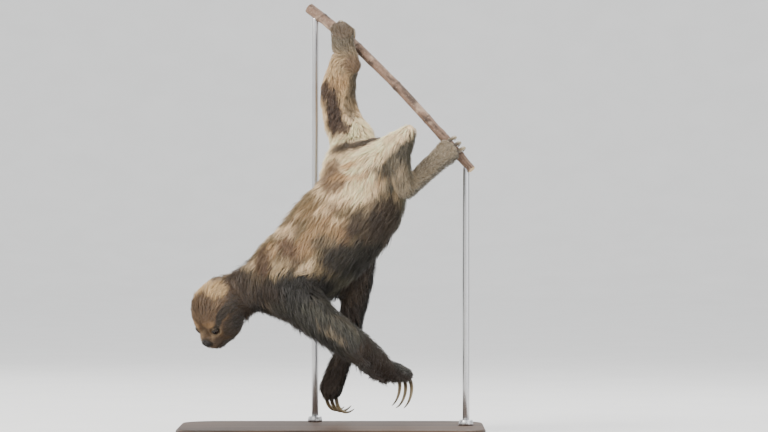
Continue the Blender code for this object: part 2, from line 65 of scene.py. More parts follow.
CREAM = linear((255, 224, 180))
SAND = linear((206, 174, 130))
FLANK_BROWN = linear((130, 110, 79))
SHOULDER_TAN = linear((172, 148, 112))
# Painted shade: the dark under the near thigh and knee.
KNEE_SHADE = linear((70, 64, 50))
TAN = linear((186, 148, 104))
CROWN_TAN = linear((206, 172, 122))
MID_BROWN = linear((108, 82, 59))
PATCH_BROWN = linear((76, 57, 43))
RUST = linear((84, 60, 40))
DARK_BROWN = linear((56, 44, 33))
NEAR_BLACK = linear((32, 28, 22))
GREY_BROWN = linear((92, 83, 67))
TAN_GREY = linear((138, 122, 97))
# Olive grey of fur in shade: painted shade on the inner and under sides of the trunk and the near
# leg.
SHADED_OLIVE_GREY = linear((76, 72, 56))
# The near arm's grey, darkened as painted shade.
SHADED_ARM_GREY = linear((45, 42, 34))
STRIPE_GREY = linear((64, 61, 49))
FACE_BROWN = linear((102, 79, 55))

# ------------------------ the sloth's build
# Each part of the body as a run of (x, y, z, radius) in millimetres, from its root to its end.
RUNS_MM = {
    "trunk": [
        (-68, -10, 243, 55), (-34, -8, 265, 64), (6, -4, 303, 71), (44, 0, 346, 68),
        (60, 3, 384, 55), (84, 6, 404, 38),
    ],
    "neck": [(-79, -12, 230, 49), (-100, -12, 225, 39), (-118, -13, 221, 34), (-140, -8, 208, 34)],
    "tail": [(90, 8, 410, 24), (105, 17, 428, 16), (112, 25, 440, 11)],
    "head": [(-160, -9, 194, 43), (-182, -29, 153, 27)],
    "left_upper_arm": [
        (-64, -34, 220, 43), (-40, -56, 196, 33), (0, -74, 163, 26.5), (35, -85, 139, 24),
    ],
    "left_forearm": [(35, -85, 139, 24), (56, -40, 118, 23.5), (79, 22, 97, 18)],
    "left_hand": [(79, 22, 97, 18), (92, 44, 94, 18), (104, 64, 89, 15.5)],
    "right_upper_arm": [
        (-62, 24, 230, 38), (-34, 60, 219, 30), (10, 90, 235, 25.5), (46, 98, 260, 23.5),
    ],
    "right_forearm": [(46, 98, 260, 23.5), (36, 87, 210, 24), (20, 70, 125, 17.5)],
    "right_hand": [(20, 70, 125, 17.5), (8, 64, 94, 20), (-2, 58, 66, 18)],
    "left_thigh": [(60, -26, 388, 43), (87, -59, 415, 28), (114, -92, 449, 16)],
    "left_shin": [(114, -92, 449, 16), (99, -96, 413, 19), (105, -88, 371, 17)],
    "left_foot": [(109, -85, 362, 16.5), (142, -53, 393, 17.5), (173.5, -10.5, 421, 14.5)],
    "right_thigh": [(30, 24, 380, 51), (34, 62, 424, 38), (15.5, 89, 466, 31.5)],
    "right_shin": [(15.5, 89, 466, 31.5), (8.5, 83, 503, 29), (16.5, 69, 548, 24.5)],
    "right_foot": [(30, 60, 545, 17.5), (16.5, 67, 572, 20), (15.5, 74, 600, 16)],
}
RUNS = {name: np.array(run) / 1000 for name, run in RUNS_MM.items()}
PARTS = list(RUNS)
HEAD_PART = PARTS.index("head")
BLEND = 0.006  # how far one part's coat mixes into the next
BACK = np.array((-0.62, -0.45, 0.64))  # out of the middle of the back
DOWN = np.array((0.0, 0.0, -1.0))

HEAD_CENTRE = Vector((-0.166, -0.014, 0.181))
HEAD_YAW, HEAD_PITCH, HEAD_ROLL = 48.0, 54.0, 4.0
# Places and ways on the head are (forward, to its left, up) from its centre.
EYE = (0.0312, 0.0171, 0.0029)
EYE_RADIUS = 0.0056
EYE_BACK = -0.002  # along the gaze: the lids reach no further back than this
GAZE = (0.8, 0.58, 0.06)
LID_RADIUS = 0.0061
SLIT = (0.0037, 0.0031)  # half sizes of the open part between the lids
FAR_FROM_SLIT = 9.0  # stands for anywhere behind the eye
EYE_COAT_DEPTH, EYE_COAT_REACH = 0.0009, (0.017, 0.009)  # the coat thins towards an eye
NOSE = np.array((0.0482, 0.0, -0.0085))
NOSE_SIZE = np.array((0.0047, 0.0088, 0.0062))
NOSE_BARE = np.array((0.006, 0.0091, 0.0064))  # half sizes of the bare skin round it
NOSE_SHADE = np.array((1.0, 1.2, 0.9))  # how far the dark round it spreads each way
MUZZLE = (0.034, 0.0, -0.004)
WHORL = (0.052, 0.0, -0.006)  # the head's coat lies away from here
FACE_FORMS = np.array([  # the muzzle and the chin: place and half sizes
    ((0.0345, 0.0, -0.0115), (0.0155, 0.0165, 0.0128)),
    ((0.0285, 0.0, -0.024), (0.0135, 0.015, 0.0092)),
])
SIDES = (1, -1)  # left, right

# Each part's coat: depth over the skin, length and width in millimetres, and tufts in a square
# centimetre; its lie, towards the body, down and towards the middle of the back; and its colour on
# the back or outer side and on the belly or inner side. The head's coat lies away from its whorl.
# The dark belly or inner colours of the trunk, neck, arms and near leg, and the arms' dark outer
# colours, are partly the coat's own colour and partly painted shade on the side turned from the
# light.
COAT = {
    "trunk": ((11.5, 30, 1.5, 34), (0.1, 0.85, 0.5), (FLANK_BROWN, SHADED_OLIVE_GREY)),
    "neck": ((10.5, 27, 1.4, 36), (0.2, 0.95, 0.15), (DARK_BROWN, NEAR_BLACK)),
    "tail": ((4.5, 15, 1.2, 34), (-0.6, 0.8, 0), (CREAM, TAN)),
    "head": ((6.2, 15, 1.1, 51), None, (FACE_BROWN, FACE_BROWN)),
    "left_upper_arm": ((9, 30, 1.4, 28), (-0.4, 0.9, 0), (SHADED_ARM_GREY, DARK_BROWN)),
    "left_forearm": ((7.2, 23, 1.35, 28), (-0.35, 0.85, 0), (SHADED_ARM_GREY, DARK_BROWN)),
    "left_hand": ((3.4, 11, 0.95, 42), (-0.9, 0.15, 0), (SHADED_ARM_GREY, DARK_BROWN)),
    "right_upper_arm": ((9, 27, 1.4, 27), (0.15, 1, 0), (DARK_BROWN, NEAR_BLACK)),
    "right_forearm": ((8, 25, 1.35, 27), (0, 1, 0), (DARK_BROWN, NEAR_BLACK)),
    "right_hand": ((4.5, 14, 1, 40), (-0.9, 0.15, 0), (DARK_BROWN, NEAR_BLACK)),
    "left_thigh": ((8.5, 23, 1.35, 32), (0.8, 0.6, 0), (CREAM, SHADED_OLIVE_GREY)),
    "left_shin": ((5.5, 17, 1.2, 36), (-0.2, 0.95, 0.1), (TAN_GREY, SHADED_OLIVE_GREY)),
    "left_foot": ((3, 9.5, 0.9, 46), (-0.9, 0.1, 0), (TAN_GREY, GREY_BROWN)),
    "right_thigh": ((9.5, 24, 1.35, 32), (0.3, 0.95, 0.1), (CREAM, TAN)),
    "right_shin": ((6.2, 18, 1.2, 34), (0.4, 0.9, 0), (SAND, GREY_BROWN)),
    "right_foot": ((3, 9.5, 0.9, 46), (-0.9, 0.1, 0), (GREY_BROWN, GREY_BROWN)),
}
COAT_TABLE = np.array([COAT[name][0] for name in PARTS]) / (1000, 1000, 1000, 1)
FACE_DEPTH, FACE_LENGTH, FACE_WIDTH = 0.0022, 0.0058, 0.0008
FACE_EXTRA = 0.9  # tufts added on the face, as a share
CM2_IN_M2 = 1e4

# Which parts' tufts share a piece. The trunk's are split along its length.
TRUNK_PIECES = ["coat_chest", "coat_back", "coat_rump"]
TRUNK_SPLITS = (0.36, 0.64)  # shares of the trunk's length
COAT_PIECES = {"coat_head": ["head"], "coat_neck": ["neck", "tail"]}
COAT_PIECES |= {piece: ["trunk"] for piece in TRUNK_PIECES}
LIMBS = {"arm": ("upper_arm", "forearm", "hand"), "leg": ("thigh", "shin", "foot")}
for limb, limb_parts in LIMBS.items():
    for side in ("left", "right"):
        COAT_PIECES[f"coat_{side}_{limb}"] = [f"{side}_{part}" for part in limb_parts]
LONG_RINGS, SHORT_RINGS = 4, 3  # cross-sections along a tuft
SHORT_COATS = ("coat_head", "coat_left_leg", "coat_right_leg")
MOST_TUFTS = {LONG_RINGS: 8300, SHORT_RINGS: 12000}  # in one piece
TUFT_CORNERS = ((-1.0, -0.15), (1.0, -0.15), (0.0, 0.5))  # of a cross-section: across, over
TUFT_WIDTHS = {LONG_RINGS: (0.7, 1.0, 0.84, 0.5), SHORT_RINGS: (0.8, 1.0, 0.6)}
TUFT_PATCH = 0.003  # a tuft's share of the unwrap, each way
LAYERS, LAYER_SHARES = (0.45, 0.72, 1.0), (0.25, 0.35, 0.4)  # how high, how many of the tufts
STRAYS, STRAY_LENGTH, STRAY_HEIGHT = 0.08, 1.28, 1.35  # tufts that stand out of the coat
SPREAD, HEIGHT_SPREAD = (0.75, 1.2), (0.85, 1.08)  # of lengths and widths, and of heights
ROOT_DEPTH = 0.0012  # how far under the skin a tuft starts
CLUMP_SHARE, CLUMP_PULL = 0.1, 0.55  # tufts that lead a clump, and how far their tips draw others
# Roots are darkened as painted shade deep in the coat; tips are paler.
ROOT_SHADE, TIP_SHADE = 0.66, 1.15  # of a tuft's own colour

INFLATE = 0.0007  # swells the solids, so that they overlap well when they are joined
FIRST_VOXEL, SKIN_VOXEL = 0.0024, 0.00235  # cells that join the solids, then even out the skin
BARK_VOXEL = 0.0012

rng = np.random.default_rng(11)


# ------------------------ small tools
def unit(vectors):
    length = np.linalg.norm(vectors, axis=-1, keepdims=True)
    return vectors / np.maximum(length, 1e-12)


def smoothstep(low, high, value):
    t = np.clip((value - low) / (high - low), 0.0, 1.0)
    return t * t * (3 - 2 * t)


def bell(offset, width):
    """1 where the offset is nothing, falling off to both sides."""
    return np.exp(-((offset / width) ** 2))


def mix(a, b, share):
    return a + (b - a) * np.asarray(share)[..., None]


def lattice(i, j, k, seed):
    """A repeatable number from 0 to 1 for each whole-numbered point."""
    h = i * 374761393 + j * 668265263 + k * 2147483647 + seed * 1274126177
    h = (h ^ (h >> 13)) * 1274126177 & 0xFFFFFFFF
    h = (h ^ (h >> 16)) & 0xFFFFFFFF
    return h / 4294967295.0


def soft_noise(points, cell, seed):
    """Smooth noise from -1 to 1 with features about a cell across."""
    q = points / cell
    base = np.floor(q).astype(np.int64)
    f = q - base
    f = f * f * (3 - 2 * f)
    total = np.zeros(len(points))
    for corner in np.ndindex(2, 2, 2):
        x, y, z = (f[:, axis] if far else 1 - f[:, axis] for axis, far in enumerate(corner))
        total += x * y * z * lattice(*(base + corner).T, seed)
    return total * 2 - 1


def mottle(points, cell, seed):
    """Two sizes of noise together."""
    return 0.65 * soft_noise(points, cell, seed) + 0.35 * soft_noise(points, cell * 0.45, seed + 7)


def wander(points, cell, seed):
    """A mottle of its own along each axis."""
    return np.stack([mottle(points, cell, seed + axis) for axis in range(3)], axis=1)


def coordinates(mesh):
    found = np.empty(len(mesh.vertices) * 3)
    mesh.vertices.foreach_get("co", found)
    return found.reshape(-1, 3)


def move_to(mesh, points):
    mesh.vertices.foreach_set("co", points.ravel())


def normals(mesh):
    found = np.empty(len(mesh.vertices) * 3, np.float32)
    mesh.vertex_normals.foreach_get("vector", found)
    return found.reshape(-1, 3).astype(float)


def new_object(name, mesh, material=None, smooth=True):
    obj = bpy.data.objects.new(name, mesh)
    bpy.context.scene.collection.objects.link(obj)
    if material:
        mesh.materials.append(material)
    if smooth:
        mesh.shade_smooth()
    return obj


def mesh_from(bm, name):
    mesh = bpy.data.meshes.new(name)
    bm.to_mesh(mesh)
    bm.free()
    return mesh


def solid_of(name, gap=1e-5):
    """One of the frame's solids, with its doubled corners joined."""
    bm = bmesh.new()
    bm.from_mesh(SOLIDS[name].data)
    bmesh.ops.remove_doubles(bm, verts=bm.verts, dist=gap)
    return bm


def flatten_modifiers(obj):
    bpy.context.view_layer.update()
    graph = bpy.context.evaluated_depsgraph_get()
    old, obj.data = obj.data, bpy.data.meshes.new_from_object(obj.evaluated_get(graph))
    obj.modifiers.clear()
    bpy.data.meshes.remove(old)


def store_colours(mesh, colours):
    layer = mesh.color_attributes.new("coat_colour", "FLOAT_COLOR", "POINT")
    full = np.ones((len(colours), 4), np.float32)
    full[:, :3] = colours
    layer.data.foreach_set("color", full.ravel())


def dress(mesh, colours, material):
    """A colour at each vertex, one material and smooth shading."""
    store_colours(mesh, colours)
    mesh.materials.clear()
    mesh.materials.append(material)
    mesh.shade_smooth()


# ------------------------ where a point is on the body
def head_matrix():
    """(forward, left, up) of the head to the model's frame."""
    yaw, pitch, roll = (math.radians(a) for a in (HEAD_YAW, HEAD_PITCH, HEAD_ROLL))
    turn = Matrix.Rotation(-yaw - math.pi / 2, 4, "Z")
    tilt = Matrix.Rotation(pitch, 4, "Y") @ Matrix.Rotation(-roll, 4, "X")
    return Matrix.Translation(HEAD_CENTRE) @ turn @ tilt


HEAD = head_matrix()
HEAD_ROT = np.array(HEAD.to_3x3())


def in_head(points):
    """Points as (forward, left, up) of the head."""
    return (points - np.array(HEAD_CENTRE)) @ HEAD_ROT


def from_head(points):
    return np.asarray(points) @ HEAD_ROT.T + np.array(HEAD_CENTRE)


def folded(place):
    """Places on the head, with its right side laid over its left."""
    place = place.copy()
    place[:, 1] = np.abs(place[:, 1])
    return place


def along_run(points, run):
    """(distance outside the run's surface, share of its length, outward vector) for each point."""
    lengths = np.linalg.norm(np.diff(run[:, :3], axis=0), axis=1)
    starts = np.concatenate([[0.0], np.cumsum(lengths)])
    best = np.full(len(points), np.inf)
    share = np.zeros(len(points))
    outward = np.zeros((len(points), 3))
    for i, (a, b) in enumerate(zip(run, run[1:])):
        step = b[:3] - a[:3]
        t = np.clip(((points - a[:3]) @ step) / (step @ step), 0.0, 1.0)
        near = a[:3] + t[:, None] * step
        gap = np.linalg.norm(points - near, axis=1) - (a[3] + (b[3] - a[3]) * t)
        closer = gap < best
        best = np.where(closer, gap, best)
        share = np.where(closer, (starts[i] + lengths[i] * t) / starts[-1], share)
        outward = np.where(closer[:, None], points - near, outward)
    return best, share, outward


def body_map(points):
    """Weights of each part at each point, and the share of the way along each part."""
    gaps = np.empty((len(points), len(PARTS)))
    shares = np.empty_like(gaps)
    for i, name in enumerate(PARTS):
        gaps[:, i], shares[:, i], _ = along_run(points, RUNS[name])
    closest = gaps.min(axis=1, keepdims=True)
    weights = np.exp(-np.maximum(0.0, gaps - closest) / BLEND)
    return weights / weights.sum(axis=1, keepdims=True), shares


def face_share(points):
    """0 on the crown and sides of the head, 1 on the short-haired face."""
    forward, _, up = in_head(points).T
    return smoothstep(0.008, 0.032, forward - 0.4 * np.maximum(0.0, up - 0.014))


def eye_gap(points):
    """How far a point is from the middle of the nearer eye."""
    return np.linalg.norm(folded(in_head(points)) - np.array(EYE), axis=1)


def on_side(place, side):
    """A place or way on the left of the head, or its mirror image on the right."""
    return np.array((place[0], side * place[1], place[2]))


def eye_axes(side):
    """Unit vectors of one eye in the head's frame: its gaze, across the face and up."""
    gaze = unit(on_side(GAZE, side))
    across = unit(np.cross((0.0, 0.0, 1.0), gaze))
    return gaze, across, np.cross(gaze, across)


def lid_opening(place, side):
    """1 on the edge of one eye's slit, less inside it. Places behind the eye get a large number."""
    offset = place - on_side(EYE, side)
    ahead, x, y = (offset @ axis for axis in eye_axes(side))
    return np.where(ahead > EYE_BACK, np.hypot(x / SLIT[0], y / SLIT[1]), FAR_FROM_SLIT)


def nearer_opening(place):
    return np.minimum(lid_opening(place, 1), lid_opening(place, -1))


def coat_values(points, weights):
    """Depth, length, width and density of the coat at each point."""
    depth, length, width, density = (weights @ COAT_TABLE).T
    face = face_share(points) * weights[:, HEAD_PART]
    depth = depth + (FACE_DEPTH - depth) * face
    depth = depth + (EYE_COAT_DEPTH - depth) * smoothstep(*EYE_COAT_REACH, eye_gap(points))
    length = length + (FACE_LENGTH - length) * face
    width = width + (FACE_WIDTH - width) * face
    return depth, length, width, density * (1 + FACE_EXTRA * face)


# ------------------------ markings
# How strongly brown blotches and pale flecks show on each part.
BLOTCHY = {"trunk": 0.9, "neck": 0.35, "tail": 0.3, "head": 0.22}
LIMBS_BLOTCHY = 0.05
# Blotches are drawn out along the body: noise is read from places squeezed along its length.
SPINE = unit(np.array((0.685, 0.072, 0.725)))
SQUEEZE = np.eye(3) - 0.45 * np.outer(SPINE, SPINE)

# Soft patches over the parts' own colours, in millimetres: centre, half sizes, colour, strength.
PATCHES = [
    # rump and near thigh
    ((22, -55, 388), (64, 60, 48), CREAM, 0.88),
    ((50, 50, 410), (45, 50, 45), CREAM, 0.7),
    ((2, -30, 376), (20, 60, 19), MID_BROWN, 0.85),
    ((-4, -40, 398), (18, 50, 13), MID_BROWN, 0.75),
    # Painted shade in a band under the crease between the raised leg and the rump.
    ((8, -55, 412), (26, 45, 7), GREY_BROWN, 0.7),
    ((30, -62, 398), (24, 40, 6), TAN, 0.9),
    ((50, -62, 392), (7, 40, 16), MID_BROWN, 0.6),
    ((18, -60, 380), (34, 40, 6), TAN, 0.7),
    # Painted shade under the near thigh and round the knee.
    ((84, -66, 398), (29, 45, 23), KNEE_SHADE, 0.92),
    ((108, -88, 416), (27, 35, 25), KNEE_SHADE, 0.92),
    ((98, -92, 448), (36, 24, 10), CREAM, 0.9),
    ((72, -90, 370), (20, 30, 14), TAN, 0.7),
    # raised leg
    ((24, 50, 438), (32, 45, 9), CREAM, 0.9),
    ((1, 50, 472), (15, 40, 30), PATCH_BROWN, 1),
    ((-7, 60, 507), (16, 30, 18), PATCH_BROWN, 0.95),
    ((11, 55, 450), (16, 40, 12), PATCH_BROWN, 0.95),
    ((29, 54, 492), (11, 30, 32), GREY_BROWN, 0.65),
    ((10, 54, 520), (14, 30, 10), TAN, 0.6),
    ((32, 54, 550), (20, 30, 14), MID_BROWN, 0.75),
    ((14, 60, 606), (20, 30, 18), MID_BROWN, 0.4),
    # back and flank
    ((-30, -60, 330), (30, 45, 18), TAN, 0.25),
    ((-10, -75, 300), (30, 35, 22), TAN, 0.45),
    ((-70, -50, 300), (20, 45, 12), CREAM, 0.6),
    ((-60, -60, 280), (18, 35, 14), MID_BROWN, 0.95),
    ((-34, -60, 282), (16, 35, 18), TAN, 0.5),
    ((-10, -70, 284), (24, 35, 12), GREY_BROWN, 0.7),
    ((-86, -40, 272), (10, 40, 10), TAN, 0.6),
    ((-40, 50, 320), (40, 40, 30), CROWN_TAN, 0.7),
    ((-60, 45, 275), (30, 40, 22), MID_BROWN, 0.7),
    ((30, 60, 345), (34, 40, 26), MID_BROWN, 0.6),
    ((-74, -55, 249), (18, 35, 14), SHOULDER_TAN, 0.95),
    ((-100, -45, 256), (14, 40, 22), RUST, 0.9),
    # painted shade: dark over the belly side, the chest and the throat
    ((52, -50, 310), (30, 60, 26), DARK_BROWN, 0.8),
    ((78, -30, 318), (26, 60, 42), DARK_BROWN, 0.85),
    ((36, -40, 262), (60, 60, 26), NEAR_BLACK, 0.9),
    ((-36, -60, 216), (64, 45, 22), NEAR_BLACK, 0.95),
    ((-86, -30, 212), (26, 60, 20), DARK_BROWN, 0.9),
    # near arm: painted shade along its underside
    ((0, -95, 141), (16, 30, 9), NEAR_BLACK, 0.9),
]
PATCH_FADE = (1.4, 0.55)  # nothing and full: squares of the distance over the half sizes
# Streaks over those, which show on the side they are on: colour, strength, and (x, y, z, radius)
# along each in millimetres.
STREAKS = [
    # Painted shadow along the crease between the raised leg and the rump.
    (DARK_BROWN, 0.9, [
        (0, 0, 422.5, 7), (28, 0, 426.5, 8), (57, -20, 433.5, 7), (80, -30, 440, 4),
    ]),
    (CREAM, 0.95, [(8, 40, 440, 5), (28, 40, 438.5, 6), (50, 40, 437.5, 5)]),
    (CREAM, 0.9, [
        (28, -60, 387, 6), (50, -60, 396.5, 8), (71, -70, 410, 10), (93, -80, 427, 10),
        (112, -90, 444, 8),
    ]),
    (STRIPE_GREY, 0.85, [
        (-38, -90, 190, 6), (-9, -100, 175, 7), (20, -100, 160, 7), (40, -100, 146, 6),
    ]),
    (TAN_GREY, 0.6, [(-16, -100, 160, 3), (0, -100, 150, 5), (18, -100, 139, 4)]),
]
STREAK_SLAB = np.array((1.0, 0.25, 1.0))  # how much each way off a streak counts
STREAK_FADE = (0.004, -0.003)  # nothing outside its edge, full inside it

# Marks of the head, the same on both sides: (forward, side, up) of each in millimetres, as above.
HEAD_MARKS = [
    # The tan crown: partly the coat's tan, partly painted sunlight on the top of the head.
    ((-20, 18, 40), (18, 22, 15), CROWN_TAN, 0.9),
    ((-44, 14, 10), (14, 30, 26), DARK_BROWN, 0.7),
    ((-20, 38, 14), (9, 12, 16), DARK_BROWN, 0.85),
    ((14, 14, 36), (6, 20, 5), DARK_BROWN, 0.4),
    ((29, 12, 15), (9, 13, 7), TAN, 0.38),
    # Dark low on the cheeks, the jaw and the chin: partly the throat's brown, partly painted shade
    # under the head.
    ((14, 35, -10), (20, 18, 17), DARK_BROWN, 0.9),
    ((-6, 40, -14), (22, 22, 24), NEAR_BLACK, 0.7),
    ((22, 10, -31), (26, 26, 12), NEAR_BLACK, 0.85),
    ((38, 12, -15), (14, 16, 9), DARK_BROWN, 0.55),
]
# The dark stripe from each eye over the cheek: (forward, side, up, radius).
STRIPE = np.array([
    (0.034, 0.0175, 0.004, 0.0042),
    (0.017, 0.03, 0.017, 0.0062),
    (0.004, 0.037, 0.02, 0.008),
    (-0.008, 0.042, 0.012, 0.009),
])


def blend_patches(colours, places, patches, share=1.0):
    for centre, half_sizes, colour, strength in patches:
        offset = (places - np.array(centre) / 1000) / (np.array(half_sizes) / 1000)
        inside = smoothstep(*PATCH_FADE, (offset**2).sum(axis=1))
        colours = mix(colours, colour, share * strength * inside)
    return colours


def head_colours(points, colours, on_head):
    """Tan crown, partly painted sunlight; pale brow and muzzle; a dark stripe back from each eye; a
    dark jaw, partly painted shade; and a dark nose.
    """
    place = in_head(points) + 0.0025 * wander(points, 0.01, 31)
    colours = blend_patches(colours, folded(place), HEAD_MARKS, on_head)
    gap, _, _ = along_run(folded(place), STRIPE)
    colours = mix(colours, NEAR_BLACK, 0.85 * on_head * smoothstep(0.0022, -0.0014, gap))
    nose = np.linalg.norm((place - NOSE) / NOSE_SHADE, axis=1)
    return mix(colours, NEAR_BLACK, 0.8 * on_head * smoothstep(0.0125, 0.0085, nose))


def markings(points, facing, weights):
    """The coat's colour at each point of the body, from the part, its side and its patches."""
    outer, inner = (np.array([COAT[name][2][i] for name in PARTS]) for i in range(2))
    blotchy = weights @ np.array([BLOTCHY.get(name, LIMBS_BLOTCHY) for name in PARTS])
    # The inner colour shows on the side turned from the back, which is also the side turned from the
    # light: partly the belly's own colour, partly painted shade.
    side = facing @ BACK + 0.22 * mottle(points, 0.035, 3)
    colours = mix(weights @ inner, weights @ outer, smoothstep(-0.55, 0.05, side))
    drawn_out = points @ SQUEEZE
    blotch = smoothstep(0.05, 0.32, mottle(drawn_out, 0.024, 5)) * smoothstep(-0.3, 0.2, side)
    colours = mix(colours, MID_BROWN, 0.75 * blotch * blotchy)
    fleck = smoothstep(0.1, 0.4, mottle(drawn_out + 3.0, 0.02, 9)) * smoothstep(-0.3, 0.3, side)
    colours = mix(colours, CREAM, 0.7 * fleck * blotchy)
    warp = wander(points, 0.018, 12)
    colours = blend_patches(colours, points + 0.006 * warp, PATCHES)
    places = (points + 0.003 * warp) * STREAK_SLAB
    for colour, strength, run in STREAKS:
        run = np.array(run) / 1000
        run[:, :3] *= STREAK_SLAB
        gap, _, _ = along_run(places, run)
        colours = mix(colours, colour, strength * smoothstep(*STREAK_FADE, gap))
    return head_colours(points, colours, weights[:, HEAD_PART])


# ------------------------ materials
class Nodes:
    """A node tree, with helpers that add a node and link it or give it values."""

    def __init__(self, tree):
        self.tree = tree

    def fill(self, socket, source):
        if hasattr(source, "is_linked"):
            self.tree.links.new(source, socket)
        else:
            socket.default_value = source

    def add(self, kind, links=(), **settings):
        node = self.tree.nodes.new(kind)
        for key, value in settings.items():
            setattr(node, key, value)
        for socket, source in dict(links).items():
            self.fill(node.inputs[socket], source)
        return node.outputs


class Look(Nodes):
    """A material, built round its shader."""

    def __init__(self, name):
        self.material = bpy.data.materials.new(name)
        self.material.use_nodes = True
        super().__init__(self.material.node_tree)
        self.shader = self.tree.nodes["Principled BSDF"]

    def set(self, **values):
        for name, value in values.items():
            self.fill(self.shader.inputs[name.replace("_", " ")], value)

    def noise(self, scale, detail=4.0, roughness=0.55, vector=None):
        """Noise with one scale, or with one along each axis."""
        if vector is None:
            vector = self.add("ShaderNodeTexCoord")["Object"]
        if isinstance(scale, tuple):
            vector = self.add("ShaderNodeMapping", {"Vector": vector, "Scale": scale})["Vector"]
            scale = 1.0
        links = {"Vector": vector, "Scale": scale, "Detail": detail, "Roughness": roughness}
        return self.add("ShaderNodeTexNoise", links)["Fac"]

    def ramp(self, source, *stops):
        node = self.tree.nodes.new("ShaderNodeValToRGB")
        self.fill(node.inputs["Fac"], source)
        while len(node.color_ramp.elements) < len(stops):
            node.color_ramp.elements.new(0.5)
        for element, (position, colour) in zip(node.color_ramp.elements, stops):
            element.position = position
            element.color = (*colour, 1.0)
        return node.outputs["Color"]

    def tone(self, source, to_low, to_high, low=0.3, high=0.7):
        links = {"Value": source, "From Min": low, "From Max": high}
        links |= {"To Min": to_low, "To Max": to_high}
        return self.add("ShaderNodeMapRange", links)["Result"]

    def plus(self, a, b):
        return self.add("ShaderNodeMath", {0: a, 1: b}, operation="ADD")[0]

    def paint(self, source, darkest, palest):
        """The stored colour, made uneven by a noise."""
        colour = self.add("ShaderNodeAttribute", attribute_name="coat_colour")["Color"]
        links = {0: 1.0, 6: colour, 7: self.tone(source, darkest, palest)}
        mixed = self.add("ShaderNodeMix", links, data_type="RGBA", blend_type="MULTIPLY")
        self.set(Base_Color=mixed[2])

    def bump(self, height, strength, distance):
        links = {"Height": height, "Strength": strength, "Distance": distance}
        self.set(Normal=self.add("ShaderNodeBump", links)["Normal"])


def fur_material():
    m = Look("coat_fur")
    strand = m.add("ShaderNodeUVMap", uv_map="strand")["UV"]
    fine = m.noise((7.0, 0.9, 1.0), detail=3.0, vector=strand)
    m.paint(fine, 0.78, 1.22)
    m.bump(fine, 0.35, 0.0006)
    m.set(Roughness=0.62, Sheen_Weight=0.15, Sheen_Roughness=0.5, Specular_IOR_Level=0.28)
    return m.material


def skin_material():
    m = Look("skin")
    grain = m.noise(420.0, detail=5.0)
    m.paint(grain, 0.75, 1.2)
    m.bump(m.plus(grain, m.noise(1500.0, detail=2.0)), 0.5, 0.0008)
    m.set(Roughness=0.7, Specular_IOR_Level=0.25)
    return m.material


def eye_material():
    m = Look("eye_wet")
    m.paint(m.noise(900.0), 0.7, 1.3)
    m.set(Roughness=0.14, Specular_IOR_Level=0.25, Coat_Weight=0.12, Coat_Roughness=0.04)
    return m.material


def nose_material():
    m = Look("nose_pad")
    blacks = (0.3, (0.01, 0.008, 0.007)), (0.75, (0.026, 0.021, 0.018))
    m.set(Base_Color=m.ramp(m.noise(300.0), *blacks))
    links = {"Vector": m.add("ShaderNodeTexCoord")["Object"], "Scale": 1400.0}
    m.bump(m.add("ShaderNodeTexVoronoi", links)["Distance"], 0.45, 0.0004)
    m.set(Roughness=0.55, Specular_IOR_Level=0.16, Coat_Weight=0.03, Coat_Roughness=0.4)
    return m.material


def claw_material():
    m = Look("claw_horn")
    grain = m.noise((900.0, 900.0, 260.0))
    m.paint(grain, 0.72, 1.18)
    m.bump(grain, 0.3, 0.0004)
    m.set(Roughness=m.tone(m.noise(220.0), 0.34, 0.55))
    return m.material


def bark_material():
    m = Look("bark_skin")
    grain = m.noise(260.0, detail=8.0, roughness=0.65)
    m.paint(grain, 0.7, 1.25)
    m.bump(m.plus(grain, m.noise(700.0, detail=2.0)), 0.55, 0.0009)
    m.set(Roughness=m.tone(grain, 0.9, 0.68))
    return m.material


def pore_material():
    m = Look("bark_pore")
    m.set(Base_Color=m.ramp(m.noise(900.0), (0.3, (0.2, 0.14, 0.1)), (0.7, (0.36, 0.28, 0.21))))
    m.set(Roughness=0.85)
    return m.material


def board_material():
    m = Look("board_wood")
    figure = m.noise((2.2, 16.0, 9.0), detail=3.0, roughness=0.45)
    grain = m.noise((8.0, 210.0, 150.0), detail=6.0, roughness=0.62)
    wood = m.tone(m.plus(figure, grain), 0.0, 1.0, 0.65, 1.35)
    dark, brown, pale = (0.026, 0.013, 0.007), (0.06, 0.031, 0.016), (0.1, 0.056, 0.03)
    m.set(Base_Color=m.ramp(wood, (0.25, dark), (0.55, brown), (0.85, pale)))
    m.bump(m.noise((60.0, 900.0, 900.0), detail=2.0), 0.2, 0.0004)
    m.set(Roughness=m.tone(grain, 0.48, 0.6), Specular_IOR_Level=0.3)
    m.set(Coat_Weight=0.05, Coat_Roughness=0.3)
    return m.material


def steel_material():
    m = Look("rod_steel_brushed")
    lines = m.noise((300.0, 300.0, 6000.0), detail=3.0)
    m.set(Base_Color=m.ramp(lines, (0.3, (0.46, 0.46, 0.47)), (0.7, (0.62, 0.62, 0.63))))
    m.set(Roughness=m.tone(lines, 0.24, 0.4), Metallic=1.0)
    m.bump(lines, 0.12, 0.0002)
    return m.material


# ------------------------ skin
def joined_flesh():
    """One closed surface over all of the flesh's solids, out to the coat's tips."""
    bm = bmesh.new()
    for name in FLESH:
        part = solid_of(name, 1e-6)
        part.normal_update()
        for vert in part.verts:
            vert.co += vert.normal * INFLATE
        copy = mesh_from(part, "part")
        bm.from_mesh(copy)
        bpy.data.meshes.remove(copy)
    skin = new_object("skin", mesh_from(bm, "skin"))
    remeshed(skin, FIRST_VOXEL, passes=8)
    return skin


def remeshed(obj, voxel, passes):
    remesh = obj.modifiers.new("join", "REMESH")
    remesh.mode = "VOXEL"
    remesh.voxel_size = voxel
    soften = obj.modifiers.new("soften", "SMOOTH")
    soften.factor = 0.5
    soften.iterations = passes
    flatten_modifiers(obj)


